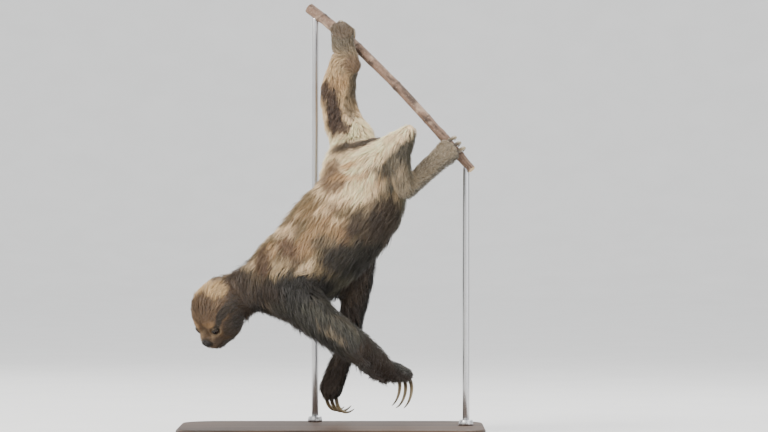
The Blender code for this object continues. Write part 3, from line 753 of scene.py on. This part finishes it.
def is_near(edge, centres, reach):
    """Whether both ends of an edge are within reach of one of the centres."""
    return any(all((v.co - c).length < reach for v in edge.verts) for c in centres)


def refine_face(mesh):
    """Smaller faces where the lids, nostrils and mouth are shaped."""
    bm = bmesh.new()
    bm.from_mesh(mesh)
    bmesh.ops.triangulate(bm, faces=bm.faces)
    muzzle = [HEAD @ Vector(MUZZLE)]
    eyes = [HEAD @ Vector(on_side(EYE, side)) for side in SIDES]
    for centres, reach in ((muzzle, 0.031), (muzzle, 0.023), (eyes, 0.0105), (eyes, 0.008)):
        chosen = [edge for edge in bm.edges if is_near(edge, centres, reach)]
        bmesh.ops.subdivide_edges(bm, edges=chosen, cuts=1, use_grid_fill=True, smooth=0.0)
        bmesh.ops.triangulate(bm, faces=[f for f in bm.faces if len(f.verts) > 3])
    bm.to_mesh(mesh)
    bm.free()


def fill_out(place):
    """Pushes what the smoothing drew in back out to the muzzle's and the chin's masses."""
    for centre, half_sizes in FACE_FORMS:
        offset = (place - centre) / half_sizes
        far = np.linalg.norm(offset, axis=1)
        reach = 0.5 * (far + 1 + np.sqrt((far - 1) ** 2 + 0.012))
        grow = (reach / np.maximum(far, 0.3) - 1) * smoothstep(1.5, 1.1, far)
        place = place + offset * grow[:, None] * half_sizes
    return place


def shape_eye(place, side):
    """Draws the lids over one eyeball and opens the slit between them."""
    gaze, across, upward = eye_axes(side)
    offset = place - on_side(EYE, side)
    ahead, x, y = offset @ gaze, offset @ across, offset @ upward
    front = ahead > EYE_BACK
    around = np.hypot(x, y)
    over = np.sqrt(np.maximum(0.0, LID_RADIUS**2 - around**2))
    lid = smoothstep(0.0088, 0.0052, around) * front
    opening = lid_opening(place, side)
    place = place + ((over - ahead) * lid)[:, None] * gaze
    rim = bell(opening - 1.22, 0.2) * front
    crease = bell(np.hypot(x / 0.0064, (y - 0.0006) / 0.005) - 1.0, 0.1) * (y > 0)
    place = place + ((0.00045 * rim - 0.0004 * crease) * front)[:, None] * gaze
    slit = smoothstep(1.06, 0.92, opening) * front
    return place - (0.005 * slit)[:, None] * gaze


def mouth_gap(place):
    """Height of a place over the mouth's line, which turns up towards its corners."""
    _, left, up = place.T
    side = np.abs(left)
    return up + 0.02 - 0.25 * np.maximum(0.0, side - 0.006) - 0.002 * smoothstep(0.004, 0.0, side)


def mouth_line(place, width):
    """1 along the line of the mouth, from corner to corner."""
    forward, left, _ = place.T
    line = bell(mouth_gap(place), width) * smoothstep(0.0185, 0.015, np.abs(left))
    return line * smoothstep(0.016, 0.028, forward)


def shape_face(points):
    """Muzzle and chin, lids, the mouth's line and the groove from it up to the nose."""
    place = fill_out(in_head(points))
    for side in SIDES:
        place = shape_eye(place, side)
    forward, left, up = place.T
    front, height = smoothstep(0.016, 0.028, forward), mouth_gap(place)
    lips = smoothstep(0.017, 0.01, np.abs(left))
    lower_lip = bell(height + 0.0028, 0.0018) * lips * front
    upper_lip = bell(height - 0.0026, 0.0016) * lips * front
    philtrum = bell(left, 0.0008) * smoothstep(0.0, 0.002, height)
    philtrum *= smoothstep(-0.01, -0.013, up) * front
    raised = -0.002 * mouth_line(place, 0.0011) + 0.0007 * lower_lip
    raised = raised + 0.0006 * upper_lip - 0.0009 * philtrum
    out = unit(place - np.array((0.01, 0.0, -0.012)))
    return from_head(place + raised[:, None] * out)


def bare_marks(points, colours):
    """The mouth's line, the lids' rims and the slits behind them are dark."""
    place = in_head(points)
    rims = smoothstep(1.75, 1.4, nearer_opening(place))
    dark = np.maximum(0.85 * mouth_line(place, 0.0013), 0.9 * rims)
    return mix(colours, NEAR_BLACK * 0.45, dark)


def build_skin():
    skin = joined_flesh()
    points, facing = coordinates(skin.data), normals(skin.data)
    depth, _, _, _ = coat_values(points, body_map(points)[0])
    move_to(skin.data, points - facing * (depth + INFLATE)[:, None])
    remeshed(skin, SKIN_VOXEL, passes=5)
    refine_face(skin.data)
    move_to(skin.data, shape_face(coordinates(skin.data)))
    skin.data.update()
    points, facing = coordinates(skin.data), normals(skin.data)
    weights, _ = body_map(points)
    # Painted shade: the skin under the coat is darkened, all but the bare face.
    shade = 0.7 + 0.3 * face_share(points) * weights[:, HEAD_PART]
    colours = markings(points, facing, weights) * shade[:, None]
    dress(skin.data, bare_marks(points, colours), skin_material())
    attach(skin, "root")
    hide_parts(*FLESH)
    return skin


# ------------------------ coat
def scatter(skin):
    """Even, repeatable places over the skin, with their normals, more where the coat is denser."""
    mesh = skin.data
    mesh.calc_loop_triangles()
    corners = np.empty(len(mesh.loop_triangles) * 3, np.int32)
    mesh.loop_triangles.foreach_get("vertices", corners)
    corners = corners.reshape(-1, 3)
    points, facing = coordinates(mesh), normals(mesh)
    a, b, c = (points[corners[:, i]] for i in range(3))
    area = np.linalg.norm(np.cross(b - a, c - a), axis=1) / 2
    middle = (a + b + c) / 3
    _, _, _, density = coat_values(middle, body_map(middle)[0])
    wanted = np.cumsum(area * density * CM2_IN_M2)
    count = int(wanted[-1])
    chosen = np.searchsorted(wanted, (np.arange(count) + rng.random(count)) * wanted[-1] / count)
    chosen = corners[np.clip(chosen, 0, len(area) - 1)]
    u, v = rng.random(count), rng.random(count)
    over = u + v > 1
    u, v = np.where(over, 1 - u, u), np.where(over, 1 - v, v)
    share = np.stack([1 - u - v, u, v], axis=1)[:, :, None]
    roots = (points[chosen] * share).sum(axis=1)
    ups = unit((facing[chosen] * share).sum(axis=1))
    keep = ~bare(roots)
    return roots[keep], ups[keep]


def bare(points):
    """No tufts on the eyes, the nose pad or the lips."""
    place = in_head(points)
    nose = np.linalg.norm((place - NOSE) / NOSE_BARE, axis=1)
    lips = (np.abs(mouth_gap(place)) < 0.0008) & (np.abs(place[:, 1]) < 0.016)
    return (nose < 1.0) | (nearer_opening(place) < 1.45) | (lips & (place[:, 0] > 0.026))


def lie_of_coat(points, ups, weights):
    """The way that the coat lies at each point, along the skin."""
    way = np.zeros_like(points)
    for i, name in enumerate(PARTS):
        if name == "head":
            flow = unit(points - from_head(WHORL))
            flow = flow + 0.35 * DOWN * (1 - face_share(points))[:, None]
        else:
            to_body, down, back = COAT[name][1]
            root, end = RUNS[name][0, :3], RUNS[name][-1, :3]
            flow = to_body * unit(root - end) + down * DOWN + back * BACK
        way += weights[:, i : i + 1] * flow
    swirl = wander(points, 0.032, 21)
    calm = 1 - 0.6 * face_share(points)[:, None] * weights[:, HEAD_PART][:, None]
    way = unit(way) + calm * (0.24 * swirl + 0.07 * rng.normal(size=points.shape))
    return along_skin(way, ups)


def along_skin(way, facing):
    """The part of each way that runs along the skin."""
    return unit(way - (way * facing).sum(axis=1, keepdims=True) * facing)


def nearest_skin(surface, points):
    """(place, facing) on the skin nearest to each point."""
    found = [surface.find_nearest(point)[:2] for point in points.tolist()]
    flat = np.array([(*place, *facing) for place, facing in found])
    return flat[:, :3], flat[:, 3:]


def comb(skin, roots, ups, weights):
    """Each tuft's centre line and facings, from its root, combed over the skin."""
    faces = [polygon.vertices[:] for polygon in skin.data.polygons]
    surface = BVHTree.FromPolygons(coordinates(skin.data).tolist(), faces)
    count = len(roots)
    depth, length, width, _ = coat_values(roots, weights)
    stray = rng.random(count) < STRAYS
    length = length * rng.uniform(*SPREAD, count) * np.where(stray, STRAY_LENGTH, 1.0)
    layer = rng.choice(LAYERS, count, p=LAYER_SHARES)
    height = depth * layer * rng.uniform(*HEIGHT_SPREAD, count) * np.where(stray, STRAY_HEIGHT, 1.0)
    length = length * (0.45 + 0.55 * smoothstep(0.006, 0.016, eye_gap(roots)))
    way = lie_of_coat(roots, ups, weights)
    turn = rng.normal(0.0, 0.1, count)[:, None]
    hang = (0.32 * length * smoothstep(0.1, -0.8, ups[:, 2]))[:, None] * DOWN
    lines, facings = [roots - ROOT_DEPTH * ups], [ups]
    over = roots
    for step in range(1, LONG_RINGS + 1):
        t = step / LONG_RINGS
        over, facing = nearest_skin(surface, over + way * (length / LONG_RINGS)[:, None])
        rise = height * (1 - (1 - t) ** 1.8)
        lines.append(over + facing * rise[:, None] + hang * t**2)
        facings.append(facing)
        way = along_skin(way, facing)
        way = way * np.cos(turn) + np.cross(facing, way) * np.sin(turn)
    lines, facings = np.stack(lines, axis=1), np.stack(facings, axis=1)
    return gather_clumps(roots, ups, weights, lines), facings, width


def gather_clumps(roots, ups, weights, lines):
    """Draws tufts' tips towards the leading tuft nearest to them, as locks."""
    leads = np.flatnonzero(rng.random(len(roots)) < CLUMP_SHARE)
    tree = KDTree(len(leads))
    for lead in leads.tolist():
        tree.insert(roots[lead], lead)
    tree.balance()
    _, lead, gap = zip(*(tree.find(root) for root in roots.tolist()))
    lead, gap = np.array(lead), np.array(gap)
    alike = (ups * ups[lead]).sum(axis=1) > 0.6
    pull = CLUMP_PULL * alike * smoothstep(0.012, 0.006, gap)
    pull *= 1 - 0.85 * face_share(roots) * weights[:, HEAD_PART]
    share = (np.linspace(0.0, 1.0, lines.shape[1]) ** 1.3)[None, :, None]
    return lines + (lines[lead] - lines) * pull[:, None, None] * share


def tuft_colours(places, facing):
    """Root and tip colour of each tuft, from the markings where its outer half lies, the root
    darkened as painted shade deep in the coat.
    """
    colours = markings(places, facing, body_map(places)[0])
    tone = rng.normal(1.0, 0.09, len(places)) + 0.13 * soft_noise(places, 0.006, 41)
    warm = rng.normal(0.0, 0.025, len(places))
    tint = np.stack([1 + warm, np.ones_like(warm), 1 - warm], axis=1)
    colours = np.clip(colours * tone[:, None] * tint, 0.004, 0.95)
    return colours * ROOT_SHADE, np.clip(colours * TIP_SHADE + 0.003, 0.0, 0.95)


def resampled(lines, count):
    """The same lines with another number of evenly spaced places."""
    spot = np.linspace(0.0, lines.shape[1] - 1.0, count)
    low = np.minimum(spot.astype(int), lines.shape[1] - 2)
    share = (spot - low)[None, :, None]
    return lines[:, low] * (1 - share) + lines[:, low + 1] * share


def unwrap(roots, owner, names):
    """A root's place on an unwrap of the skin: round each part's own run, part above part."""
    uv = np.zeros((len(roots), 2))
    for row, name in enumerate(names):
        chosen = owner == PARTS.index(name)
        if not chosen.any():
            continue
        if name == "head":
            forward, left, up = unit(in_head(roots[chosen])).T
            turn, share = np.arctan2(left, up), np.arccos(np.clip(forward, -1, 1)) / math.pi
        else:
            run = RUNS[name]
            _, share, outward = along_run(roots[chosen], run)
            axis = unit(run[-1, :3] - run[0, :3])
            first = unit(np.cross(axis, (0.3, 0.9, 0.1)))
            turn = np.arctan2(outward @ np.cross(axis, first), outward @ first)
            beyond = (outward @ axis) / max(run[0, 3], run[-1, 3])
            share = 0.15 + 0.7 * share + 0.15 * np.clip(beyond, -1, 1)
        low, high = (row + 0.02) / len(names), (row + 0.98) / len(names)
        uv[chosen, 0] = 0.01 + 0.975 * (turn + math.pi) / (2 * math.pi)
        uv[chosen, 1] = low + (high - low) * np.clip(share, 0.0, 1.0)
    return uv


def tuft_faces(rings):
    """Corners of each face of one tuft, quads first."""
    pairs = ((0, 1), (1, 2), (2, 0))
    starts = range(0, (rings - 1) * 3, 3)
    quads = [(at + a, at + b, at + b + 3, at + a + 3) for at in starts for a, b in pairs]
    last, tip = (rings - 1) * 3, rings * 3
    return quads, [(last + a, last + b, tip) for a, b in pairs] + [(2, 1, 0)]


def build_tufts(name, lines, facings, width, low, high, uv, rings, material):
    """One mesh of many tufts: three-sided locks that taper and bend, closed at root and tip."""
    count, each = len(lines), rings * 3 + 1
    lines, facings = resampled(lines, rings + 1), resampled(facings, rings + 1)
    tangents = unit(np.diff(lines, axis=1))
    verts, colours = np.empty((count, each, 3)), np.empty((count, each, 3))
    shares = np.empty((count, each, 2))
    for ring, share_of_width in enumerate(TUFT_WIDTHS[rings]):
        side = unit(np.cross(facings[:, ring], tangents[:, ring]))
        over = np.cross(tangents[:, ring], side)
        half = (0.5 * width * share_of_width)[:, None]
        t = ring / rings
        for corner, (s, o) in enumerate(TUFT_CORNERS, ring * 3):
            verts[:, corner] = lines[:, ring] + side * (s * half) + over * (o * half)
            colours[:, corner] = low + (high - low) * t**0.8
            shares[:, corner] = (0.5 + 0.5 * s, t)
    verts[:, -1], colours[:, -1], shares[:, -1] = lines[:, -1], high, (0.5, 1.0)

    quads, triangles = tuft_faces(rings)
    first = np.arange(count)[:, None] * each
    loops = np.concatenate([first + np.ravel(quads), first + np.ravel(triangles)], axis=1)
    flat = loops.astype(np.int32).ravel()
    sizes = np.tile(np.array([4] * len(quads) + [3] * len(triangles), np.int32), count)
    mesh = bpy.data.meshes.new(name)
    mesh.vertices.add(count * each)
    move_to(mesh, verts.astype(np.float32))
    mesh.loops.add(len(flat))
    mesh.loops.foreach_set("vertex_index", flat)
    mesh.polygons.add(len(sizes))
    mesh.polygons.foreach_set("loop_start", (np.cumsum(sizes) - sizes).astype(np.int32))
    mesh.update(calc_edges=True)
    mesh.validate()

    tuft, share = flat // each, shares.reshape(-1, 2)[flat]
    patch = np.clip(uv[tuft] + TUFT_PATCH * (share - 0.5), 0.0, 1.0)
    own = share + np.stack([tuft * 0.37 % 13.0, tuft * 0.61 % 17.0], axis=1)
    for layer, places in (("OFBake", patch), ("strand", own)):
        mesh.uv_layers.new(name=layer).data.foreach_set("uv", places.astype(np.float32).ravel())
    store_colours(mesh, colours.reshape(-1, 3))
    piece = new_object(name, mesh, material)
    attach(piece, "root")


def build_coat(skin):
    material = fur_material()
    roots, ups = scatter(skin)
    weights, shares = body_map(roots)
    owner = weights.argmax(axis=1)
    lines, facings, width = comb(skin, roots, ups, weights)
    width = width * rng.uniform(*SPREAD, len(roots))
    low, high = tuft_colours(0.4 * lines[:, 2] + 0.6 * lines[:, 3], facings[:, 3])
    third = np.digitize(shares[:, PARTS.index("trunk")], TRUNK_SPLITS)
    for name, parts in COAT_PIECES.items():
        mine = np.isin(owner, [PARTS.index(part) for part in parts])
        if name in TRUNK_PIECES:
            mine &= third == TRUNK_PIECES.index(name)
        rings = SHORT_RINGS if name in SHORT_COATS else LONG_RINGS
        picked = np.flatnonzero(mine)
        if len(picked) > MOST_TUFTS[rings]:
            picked = np.sort(rng.permutation(picked)[: MOST_TUFTS[rings]])
        uv = unwrap(roots[picked], owner[picked], parts)
        chosen = (array[picked] for array in (lines, facings, width, low, high))
        build_tufts(name, *chosen, uv, rings, material)


# ------------------------ eyes, nose and claws
IRIS, PUPIL = linear((36, 24, 17)), linear((8, 7, 6))
CLAW_ROOT, CLAW_HORN, CLAW_TIP = linear((66, 54, 40)), linear((150, 134, 104)), linear((92, 80, 62))
FLAT_ANGLE = math.radians(1.5)  # faces that meet at less than this become one


def build_eyes():
    """Dark eyes with a slight bulge of the cornea, a brown iris and a round pupil."""
    material = eye_material()
    for name, side in zip(("left_eye", "right_eye"), SIDES):
        low, high = map(Vector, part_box(name))
        gaze = HEAD.to_3x3() @ Vector(on_side(GAZE, side)).normalized()
        bm = bmesh.new()
        bmesh.ops.create_uvsphere(bm, u_segments=40, v_segments=30, radius=EYE_RADIUS)
        mesh = mesh_from(bm, name)
        mesh.transform(gaze.to_track_quat("Z", "Y").to_matrix().to_4x4())
        points = coordinates(mesh)
        ahead = unit(points) @ np.array(gaze)
        points = points * (1.0 + 0.035 * smoothstep(0.8, 1.0, ahead))[:, None]
        move_to(mesh, points + np.array((low + high) / 2))
        colours = mix(np.tile(IRIS, (len(ahead), 1)), PUPIL, smoothstep(0.955, 0.965, ahead))
        store_colours(mesh, mix(colours, IRIS * 0.3, smoothstep(0.8, 0.72, ahead)))
        eye = new_object(f"{name}ball", mesh, material)
        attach(eye, "root")
        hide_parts(name)


def build_nose():
    """A broad leathery pad with two nostrils that open to the sides."""
    bm = bmesh.new()
    bmesh.ops.create_icosphere(bm, subdivisions=5, radius=1.0)
    mesh = mesh_from(bm, "nose_pad")
    place = coordinates(mesh)
    forward, left, up = place.T
    shape = place * NOSE_SIZE
    shape[:, 2] += 0.001 * (np.abs(left) ** 2 - 0.4)
    shape[:, 0] -= 0.0012 * bell(left, 0.16) * (forward > 0)
    for side in SIDES:
        hole = (left - side * 0.46) ** 2 / 0.042 + (up + 0.1) ** 2 / 0.055
        shape[:, 0] -= 0.003 * np.exp(-(hole**1.5)) * (forward > 0)
    shape += unit(shape) * (0.0001 * soft_noise(shape, 0.0012, 51))[:, None]
    move_to(mesh, from_head(shape + NOSE))
    nose = new_object("nose_pad", mesh, nose_material())
    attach(nose, "root")
    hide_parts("nose")


def build_claws():
    """Each claw as smooth horn: dark at the root, yellow-grey along it, worn at the tip."""
    material = claw_material()
    for name in [n for n in SOLIDS if "_claw_" in n]:
        bm = solid_of(name)
        bmesh.ops.dissolve_limit(bm, angle_limit=FLAT_ANGLE, verts=bm.verts, edges=bm.edges)
        claw = new_object(f"{name}_horn", mesh_from(bm, name))
        smooth = claw.modifiers.new("smooth", "SUBSURF")
        smooth.levels = smooth.render_levels = 2
        flatten_modifiers(claw)
        paw = name.split("_claw")[0].replace("_arm", "_hand").replace("_leg", "_foot")
        reach = np.linalg.norm(coordinates(claw.data) - RUNS[paw][-1, :3], axis=1)
        share = smoothstep(0.01, reach.max(), reach)
        colours = mix(CLAW_ROOT, CLAW_HORN, smoothstep(0.0, 0.5, share))
        dress(claw.data, mix(colours, CLAW_TIP, smoothstep(0.75, 1.0, share)), material)
        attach(claw, "root")
        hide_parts(name)


# ------------------------ perch and stand
LEAF_SCARS = (0.1, 0.29, 0.52, 0.7, 0.9)  # shares of the branch's length
KNOTS = [(0.16, 0.4, 0.0016), (0.47, 2.6, 0.0014), (0.8, 4.4, 0.0018)]  # along, round, height
BARK_DARK, BARK_MID = linear((74, 58, 48)), linear((118, 94, 78))
BARK_PALE, CUT_WOOD = linear((168, 144, 124)), linear((196, 168, 126))


def build_branch():
    """The perch with its bark: long ridges, scars where leaves grew, knots and two sawn ends."""
    branch = new_object("perch_bark", mesh_from(solid_of("perch_branch"), "perch_bark"))
    remeshed(branch, BARK_VOXEL, passes=3)
    points, facing = coordinates(branch.data), normals(branch.data)
    low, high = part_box("perch_branch")
    start, end = np.array((low[0], high[1], high[2])), np.array((high[0], low[1], low[2]))
    axis = unit(end - start)
    along = (points - start) @ axis / np.linalg.norm(end - start)
    first = unit(np.cross(axis, (0.0, 0.0, 1.0)))
    outward = points - (start + along[:, None] * (end - start))
    turn = np.arctan2(outward @ np.cross(axis, first), outward @ first)
    square_on = np.abs(facing @ axis)
    round_way = np.stack([np.cos(turn) * 0.01, np.sin(turn) * 0.01, along * 0.06], axis=1)
    ridges = mottle(round_way, 0.0032, 61)
    scars = sum(bell(along - s + 0.004 * np.sin(turn * 2 + s * 9), 0.006) for s in LEAF_SCARS)
    height = 0.0003 * ridges + 0.00065 * scars + 0.0005 * mottle(points, 0.02, 63)
    for spot, angle, size in KNOTS:
        gap = np.angle(np.exp(1j * (turn - angle)))
        near = ((along - spot) / 0.03) ** 2 + (gap / 0.75) ** 2
        height = height + size * np.exp(-near) * (1 - 0.45 * np.exp(-near * 9))
    height = np.where(square_on > 0.8, 0.0, height) - 0.0006
    move_to(branch.data, points + facing * height[:, None])
    furrows = smoothstep(0.0, 0.55, -ridges + 0.4 * mottle(points, 0.012, 65))
    colours = mix(BARK_MID, BARK_DARK, furrows)
    colours = mix(colours, BARK_PALE, 0.7 * smoothstep(0.15, 0.5, mottle(points, 0.016, 67)))
    colours = mix(colours, BARK_DARK * 0.8, 0.6 * smoothstep(0.4, 0.9, scars))
    radius = np.linalg.norm(outward, axis=1)
    rings = 0.5 + 0.5 * np.cos(radius * 5200.0 + 2.0 * soft_noise(points, 0.004, 69))
    sawn = mix(CUT_WOOD, CUT_WOOD * 0.62, 0.6 * rings)
    dress(branch.data, np.where((square_on > 0.7)[:, None], sawn, colours), bark_material())
    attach(branch, "root")
    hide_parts("perch_branch")
    build_pores(branch, axis)


def pore_tree(material):
    """Scatters small raised pores over the bark and returns only the pores, as one plain mesh."""
    group = bpy.data.node_groups.new("bark_pores", "GeometryNodeTree")
    sockets = {}
    for name, kind, value in (
        ("Geometry", "Geometry", None),
        ("Pores in a square metre", "Float", 26000.0),
        ("Least gap", "Float", 0.003),
        ("Smallest size", "Float", 0.0006),
        ("Largest size", "Float", 0.0012),
        ("Shape", "Vector", (0.55, 1.0, 0.3)),
        ("Branch axis", "Vector", (1.0, 0.0, 0.0)),
        ("Seed", "Int", 17),
    ):
        socket = group.interface.new_socket(name, in_out="INPUT", socket_type=f"NodeSocket{kind}")
        sockets[name] = socket.identifier
        if value is not None:
            socket.default_value = value
    group.interface.new_socket("Geometry", in_out="OUTPUT", socket_type="NodeSocketGeometry")

    add = Nodes(group).add
    given = add("NodeGroupInput")
    links = {"Mesh": given["Geometry"], "Distance Min": given["Least gap"], "Seed": given["Seed"]}
    links["Density Max"] = given["Pores in a square metre"]
    spread = add("GeometryNodeDistributePointsOnFaces", links, distribute_method="POISSON")
    lens = add("GeometryNodeMeshIcoSphere", {"Radius": 1.0, "Subdivisions": 2})
    links = {"Min": given["Smallest size"], "Max": given["Largest size"], "Seed": given["Seed"]}
    size = add("FunctionNodeRandomValue", links, data_type="FLOAT")
    links = {0: given["Shape"], "Scale": size["Value"]}
    scale = add("ShaderNodeVectorMath", links, operation="SCALE")
    links = {"Rotation": spread["Rotation"], "Vector": given["Branch axis"]}
    turned = add("FunctionNodeAlignRotationToVector", links, axis="X", pivot_axis="Z")
    links = {"Points": spread["Points"], "Instance": lens["Mesh"], "Rotation": turned["Rotation"]}
    links["Scale"] = scale["Vector"]
    placed = add("GeometryNodeInstanceOnPoints", links)
    real = add("GeometryNodeRealizeInstances", {"Geometry": placed["Instances"]})
    dressed = add("GeometryNodeSetMaterial", {"Geometry": real["Geometry"], "Material": material})
    add("NodeGroupOutput", {"Geometry": dressed["Geometry"]})
    return group, sockets


def build_pores(branch, axis):
    """The bark's pores, as long across the branch as they are narrow along it."""
    pores = new_object("perch_pores", branch.data.copy())
    modifier = pores.modifiers.new("pores", "NODES")
    modifier.node_group, sockets = pore_tree(pore_material())
    modifier[sockets["Branch axis"]] = [float(part) for part in axis]
    modifier[sockets["Seed"]] = 23
    flatten_modifiers(pores)
    pores.data.shade_smooth()
    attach(pores, "root")


def round_off(bm, edges, offset, segments):
    bmesh.ops.bevel(bm, geom=edges, offset=offset, segments=segments, affect="EDGES", profile=0.5)


def build_board():
    """The stand's base: a board with round corners and a routed edge, eased underneath."""
    low, high = map(Vector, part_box("stand_base"))
    size, middle = high - low, (high + low) / 2
    bm = bmesh.new()
    place = Matrix.Translation(middle) @ Matrix.Diagonal((*size, 1.0))
    bmesh.ops.create_cube(bm, size=1.0, matrix=place)
    upright = [e for e in bm.edges if abs((e.verts[0].co - e.verts[1].co).z) > 0.5 * size.z]
    round_off(bm, upright, 0.06, 24)
    round_off(bm, [e for e in bm.edges if all(v.co.z > high.z - 1e-5 for v in e.verts)], 0.004, 6)
    round_off(bm, [e for e in bm.edges if all(v.co.z < low.z + 1e-5 for v in e.verts)], 0.0008, 2)
    board = new_object("stand_board", mesh_from(bm, "stand_board"), board_material(), smooth=False)
    for face in board.data.polygons:
        face.use_smooth = abs(face.normal.z) < 0.999
    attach(board, "root")
    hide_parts("stand_base")


def spun(profile, segments):
    """(radius, height) points turned round the upright axis."""
    bm = bmesh.new()
    verts = [bm.verts.new((radius, 0.0, height)) for radius, height in profile]
    edges = [bm.edges.new(pair) for pair in zip(verts, verts[1:])]
    turn = {"axis": (0, 0, 1), "cent": (0, 0, 0), "angle": 2 * math.pi, "steps": segments}
    bmesh.ops.spin(bm, geom=verts + edges, **turn)
    bmesh.ops.remove_doubles(bm, verts=bm.verts, dist=1e-5)
    return bm


def lathe(name, profile, centre, material, segments=48):
    """A closed turned shape from (radius, height) points, bottom to top."""
    bm = spun(profile, segments)
    bmesh.ops.recalc_face_normals(bm, faces=bm.faces)
    bmesh.ops.translate(bm, verts=bm.verts, vec=centre)
    return new_object(name, mesh_from(bm, name), material)


def build_rods():
    """Each rod with a rounded shoulder under the bark, and its collar with a grub screw."""
    steel = steel_material()
    for side in ("left", "right"):
        low, high = map(Vector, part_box(f"stand_rod_{side}"))
        x, y = (low.x + high.x) / 2, (low.y + high.y) / 2
        radius, tall = (high.x - low.x) / 2, high.z - low.z
        shaft = [(0.0, 0.0), (radius * 0.9, 0.0), (radius, 0.0005)]
        shaft += [(radius, tall * i / 6) for i in range(1, 6)]
        shaft += [(radius, tall - 0.003), (radius * 0.9, tall - 0.0008), (0.0, tall - 0.0004)]
        rod = lathe(f"rod_{side}", shaft, Vector((x, y, low.z)), steel)
        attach(rod, "root")
        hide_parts(f"stand_rod_{side}")
        low, high = map(Vector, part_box(f"stand_collar_{side}"))
        wide, tall, bore = (high.x - low.x) / 2, high.z - low.z, radius + 0.0002
        ring = [(bore, 0.0), (wide - 0.0006, 0.0), (wide, 0.0006), (wide * 0.97, tall * 0.45)]
        ring += [(wide * 0.9, tall - 0.0012), (wide * 0.84, tall), (radius + 0.0006, tall)]
        ring += [(bore, tall - 0.0004), (bore, 0.0)]
        collar = lathe(f"collar_{side}", ring, Vector((x, y, low.z)), steel)
        screw = [(0.0, 0.0), (0.0017, 0.0), (0.0019, 0.0003), (0.0019, 0.001), (0.0015, 0.0013)]
        screw += [(0.0009, 0.0013), (0.0009, 0.0005), (0.0, 0.0005)]
        head = lathe(f"collar_screw_{side}", screw, Vector((0, 0, 0)), steel, 24)
        out = Matrix.Translation((x, y - wide * 0.95, low.z + tall * 0.42))
        head.data.transform(out @ Matrix.Rotation(math.pi / 2, 4, "X"))
        for piece in (collar, head):
            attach(piece, "root")
        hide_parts(f"stand_collar_{side}")


# ------------------------ studio
FLAT_REACH, BEND_RADIUS, WALL_TOP = 9.0, 3.0, 5.5  # of the floor, which rises to a wall all round
BEND_STEPS, FLOOR_DROP = 12, 0.0005
LIGHTS = [  # name, place, size, watts, colour
    ("key", (-1.6, -1.5, 2.3), 1.3, 122.0, (1.0, 0.96, 0.9)),
    ("fill", (1.9, -1.9, 1.0), 1.8, 22.0, (0.96, 0.98, 1.0)),
    ("rim", (0.9, 1.2, 1.9), 1.0, 30.0, (1.0, 1.0, 1.0)),
    ("back_fill", (-1.6, 1.9, 1.2), 1.6, 18.0, (1.0, 0.99, 0.96)),
]
LIT_PLACE = Vector((0.0, 0.0, 0.3))
SKY, SKY_STRENGTH = (0.97, 0.98, 1.0, 1.0), 1.3
CAMERA_PLACE, CAMERA_LENS = (0.0773, -6.28, 0.3235), 200.0


def build_floor():
    """A pale floor that bends up into a wall all round the model and the camera."""
    m = Look("studio_floor")
    greys = (0.2, (0.76, 0.76, 0.75)), (0.8, (0.81, 0.81, 0.8))
    m.set(Base_Color=m.ramp(m.noise(6.0, detail=2.0), *greys))
    m.set(Roughness=0.75, Emission_Color=(1.0, 1.0, 1.0, 1.0), Emission_Strength=0.12)
    sweep = [(0.0, 0.0)]
    for i in range(BEND_STEPS + 1):
        angle = math.pi / 2 * i / BEND_STEPS
        rise = BEND_RADIUS * (1 - math.cos(angle))
        sweep.append((FLAT_REACH + BEND_RADIUS * math.sin(angle), rise))
    sweep.append((FLAT_REACH + BEND_RADIUS, WALL_TOP))
    bm = spun([(radius, height - FLOOR_DROP) for radius, height in sweep], 96)
    bm.normal_update()
    if any(face.normal.z < -0.5 for face in bm.faces):
        bmesh.ops.reverse_faces(bm, faces=bm.faces)
    floor = new_object("studio_floor", mesh_from(bm, "studio_floor"), m.material)


def build_lights():
    world = bpy.data.worlds.new("studio")
    bpy.context.scene.world = world
    world.use_nodes = True
    background = world.node_tree.nodes["Background"].inputs
    background["Color"].default_value = SKY
    background["Strength"].default_value = SKY_STRENGTH
    for name, place, size, power, colour in LIGHTS:
        light = bpy.data.lights.new(name, "AREA")
        light.size = size
        light.energy = power
        light.color = colour
        lamp = bpy.data.objects.new(name, light)
        lamp.location = place
        lamp.rotation_euler = (LIT_PLACE - Vector(place)).to_track_quat("-Z", "Y").to_euler()
        bpy.context.scene.collection.objects.link(lamp)


def build_camera():
    camera = bpy.data.cameras.new("camera")
    camera.lens, camera.sensor_width = CAMERA_LENS, 36.0
    camera.clip_end = 60.0
    holder = bpy.data.objects.new("camera", camera)
    holder.location = CAMERA_PLACE
    holder.rotation_euler = (math.pi / 2, 0.0, 0.0)
    bpy.context.scene.collection.objects.link(holder)
    bpy.context.scene.camera = holder


build_camera()
build_coat(build_skin())
build_eyes()
build_nose()
build_claws()
build_branch()
build_board()
build_rods()
build_floor()
build_lights()
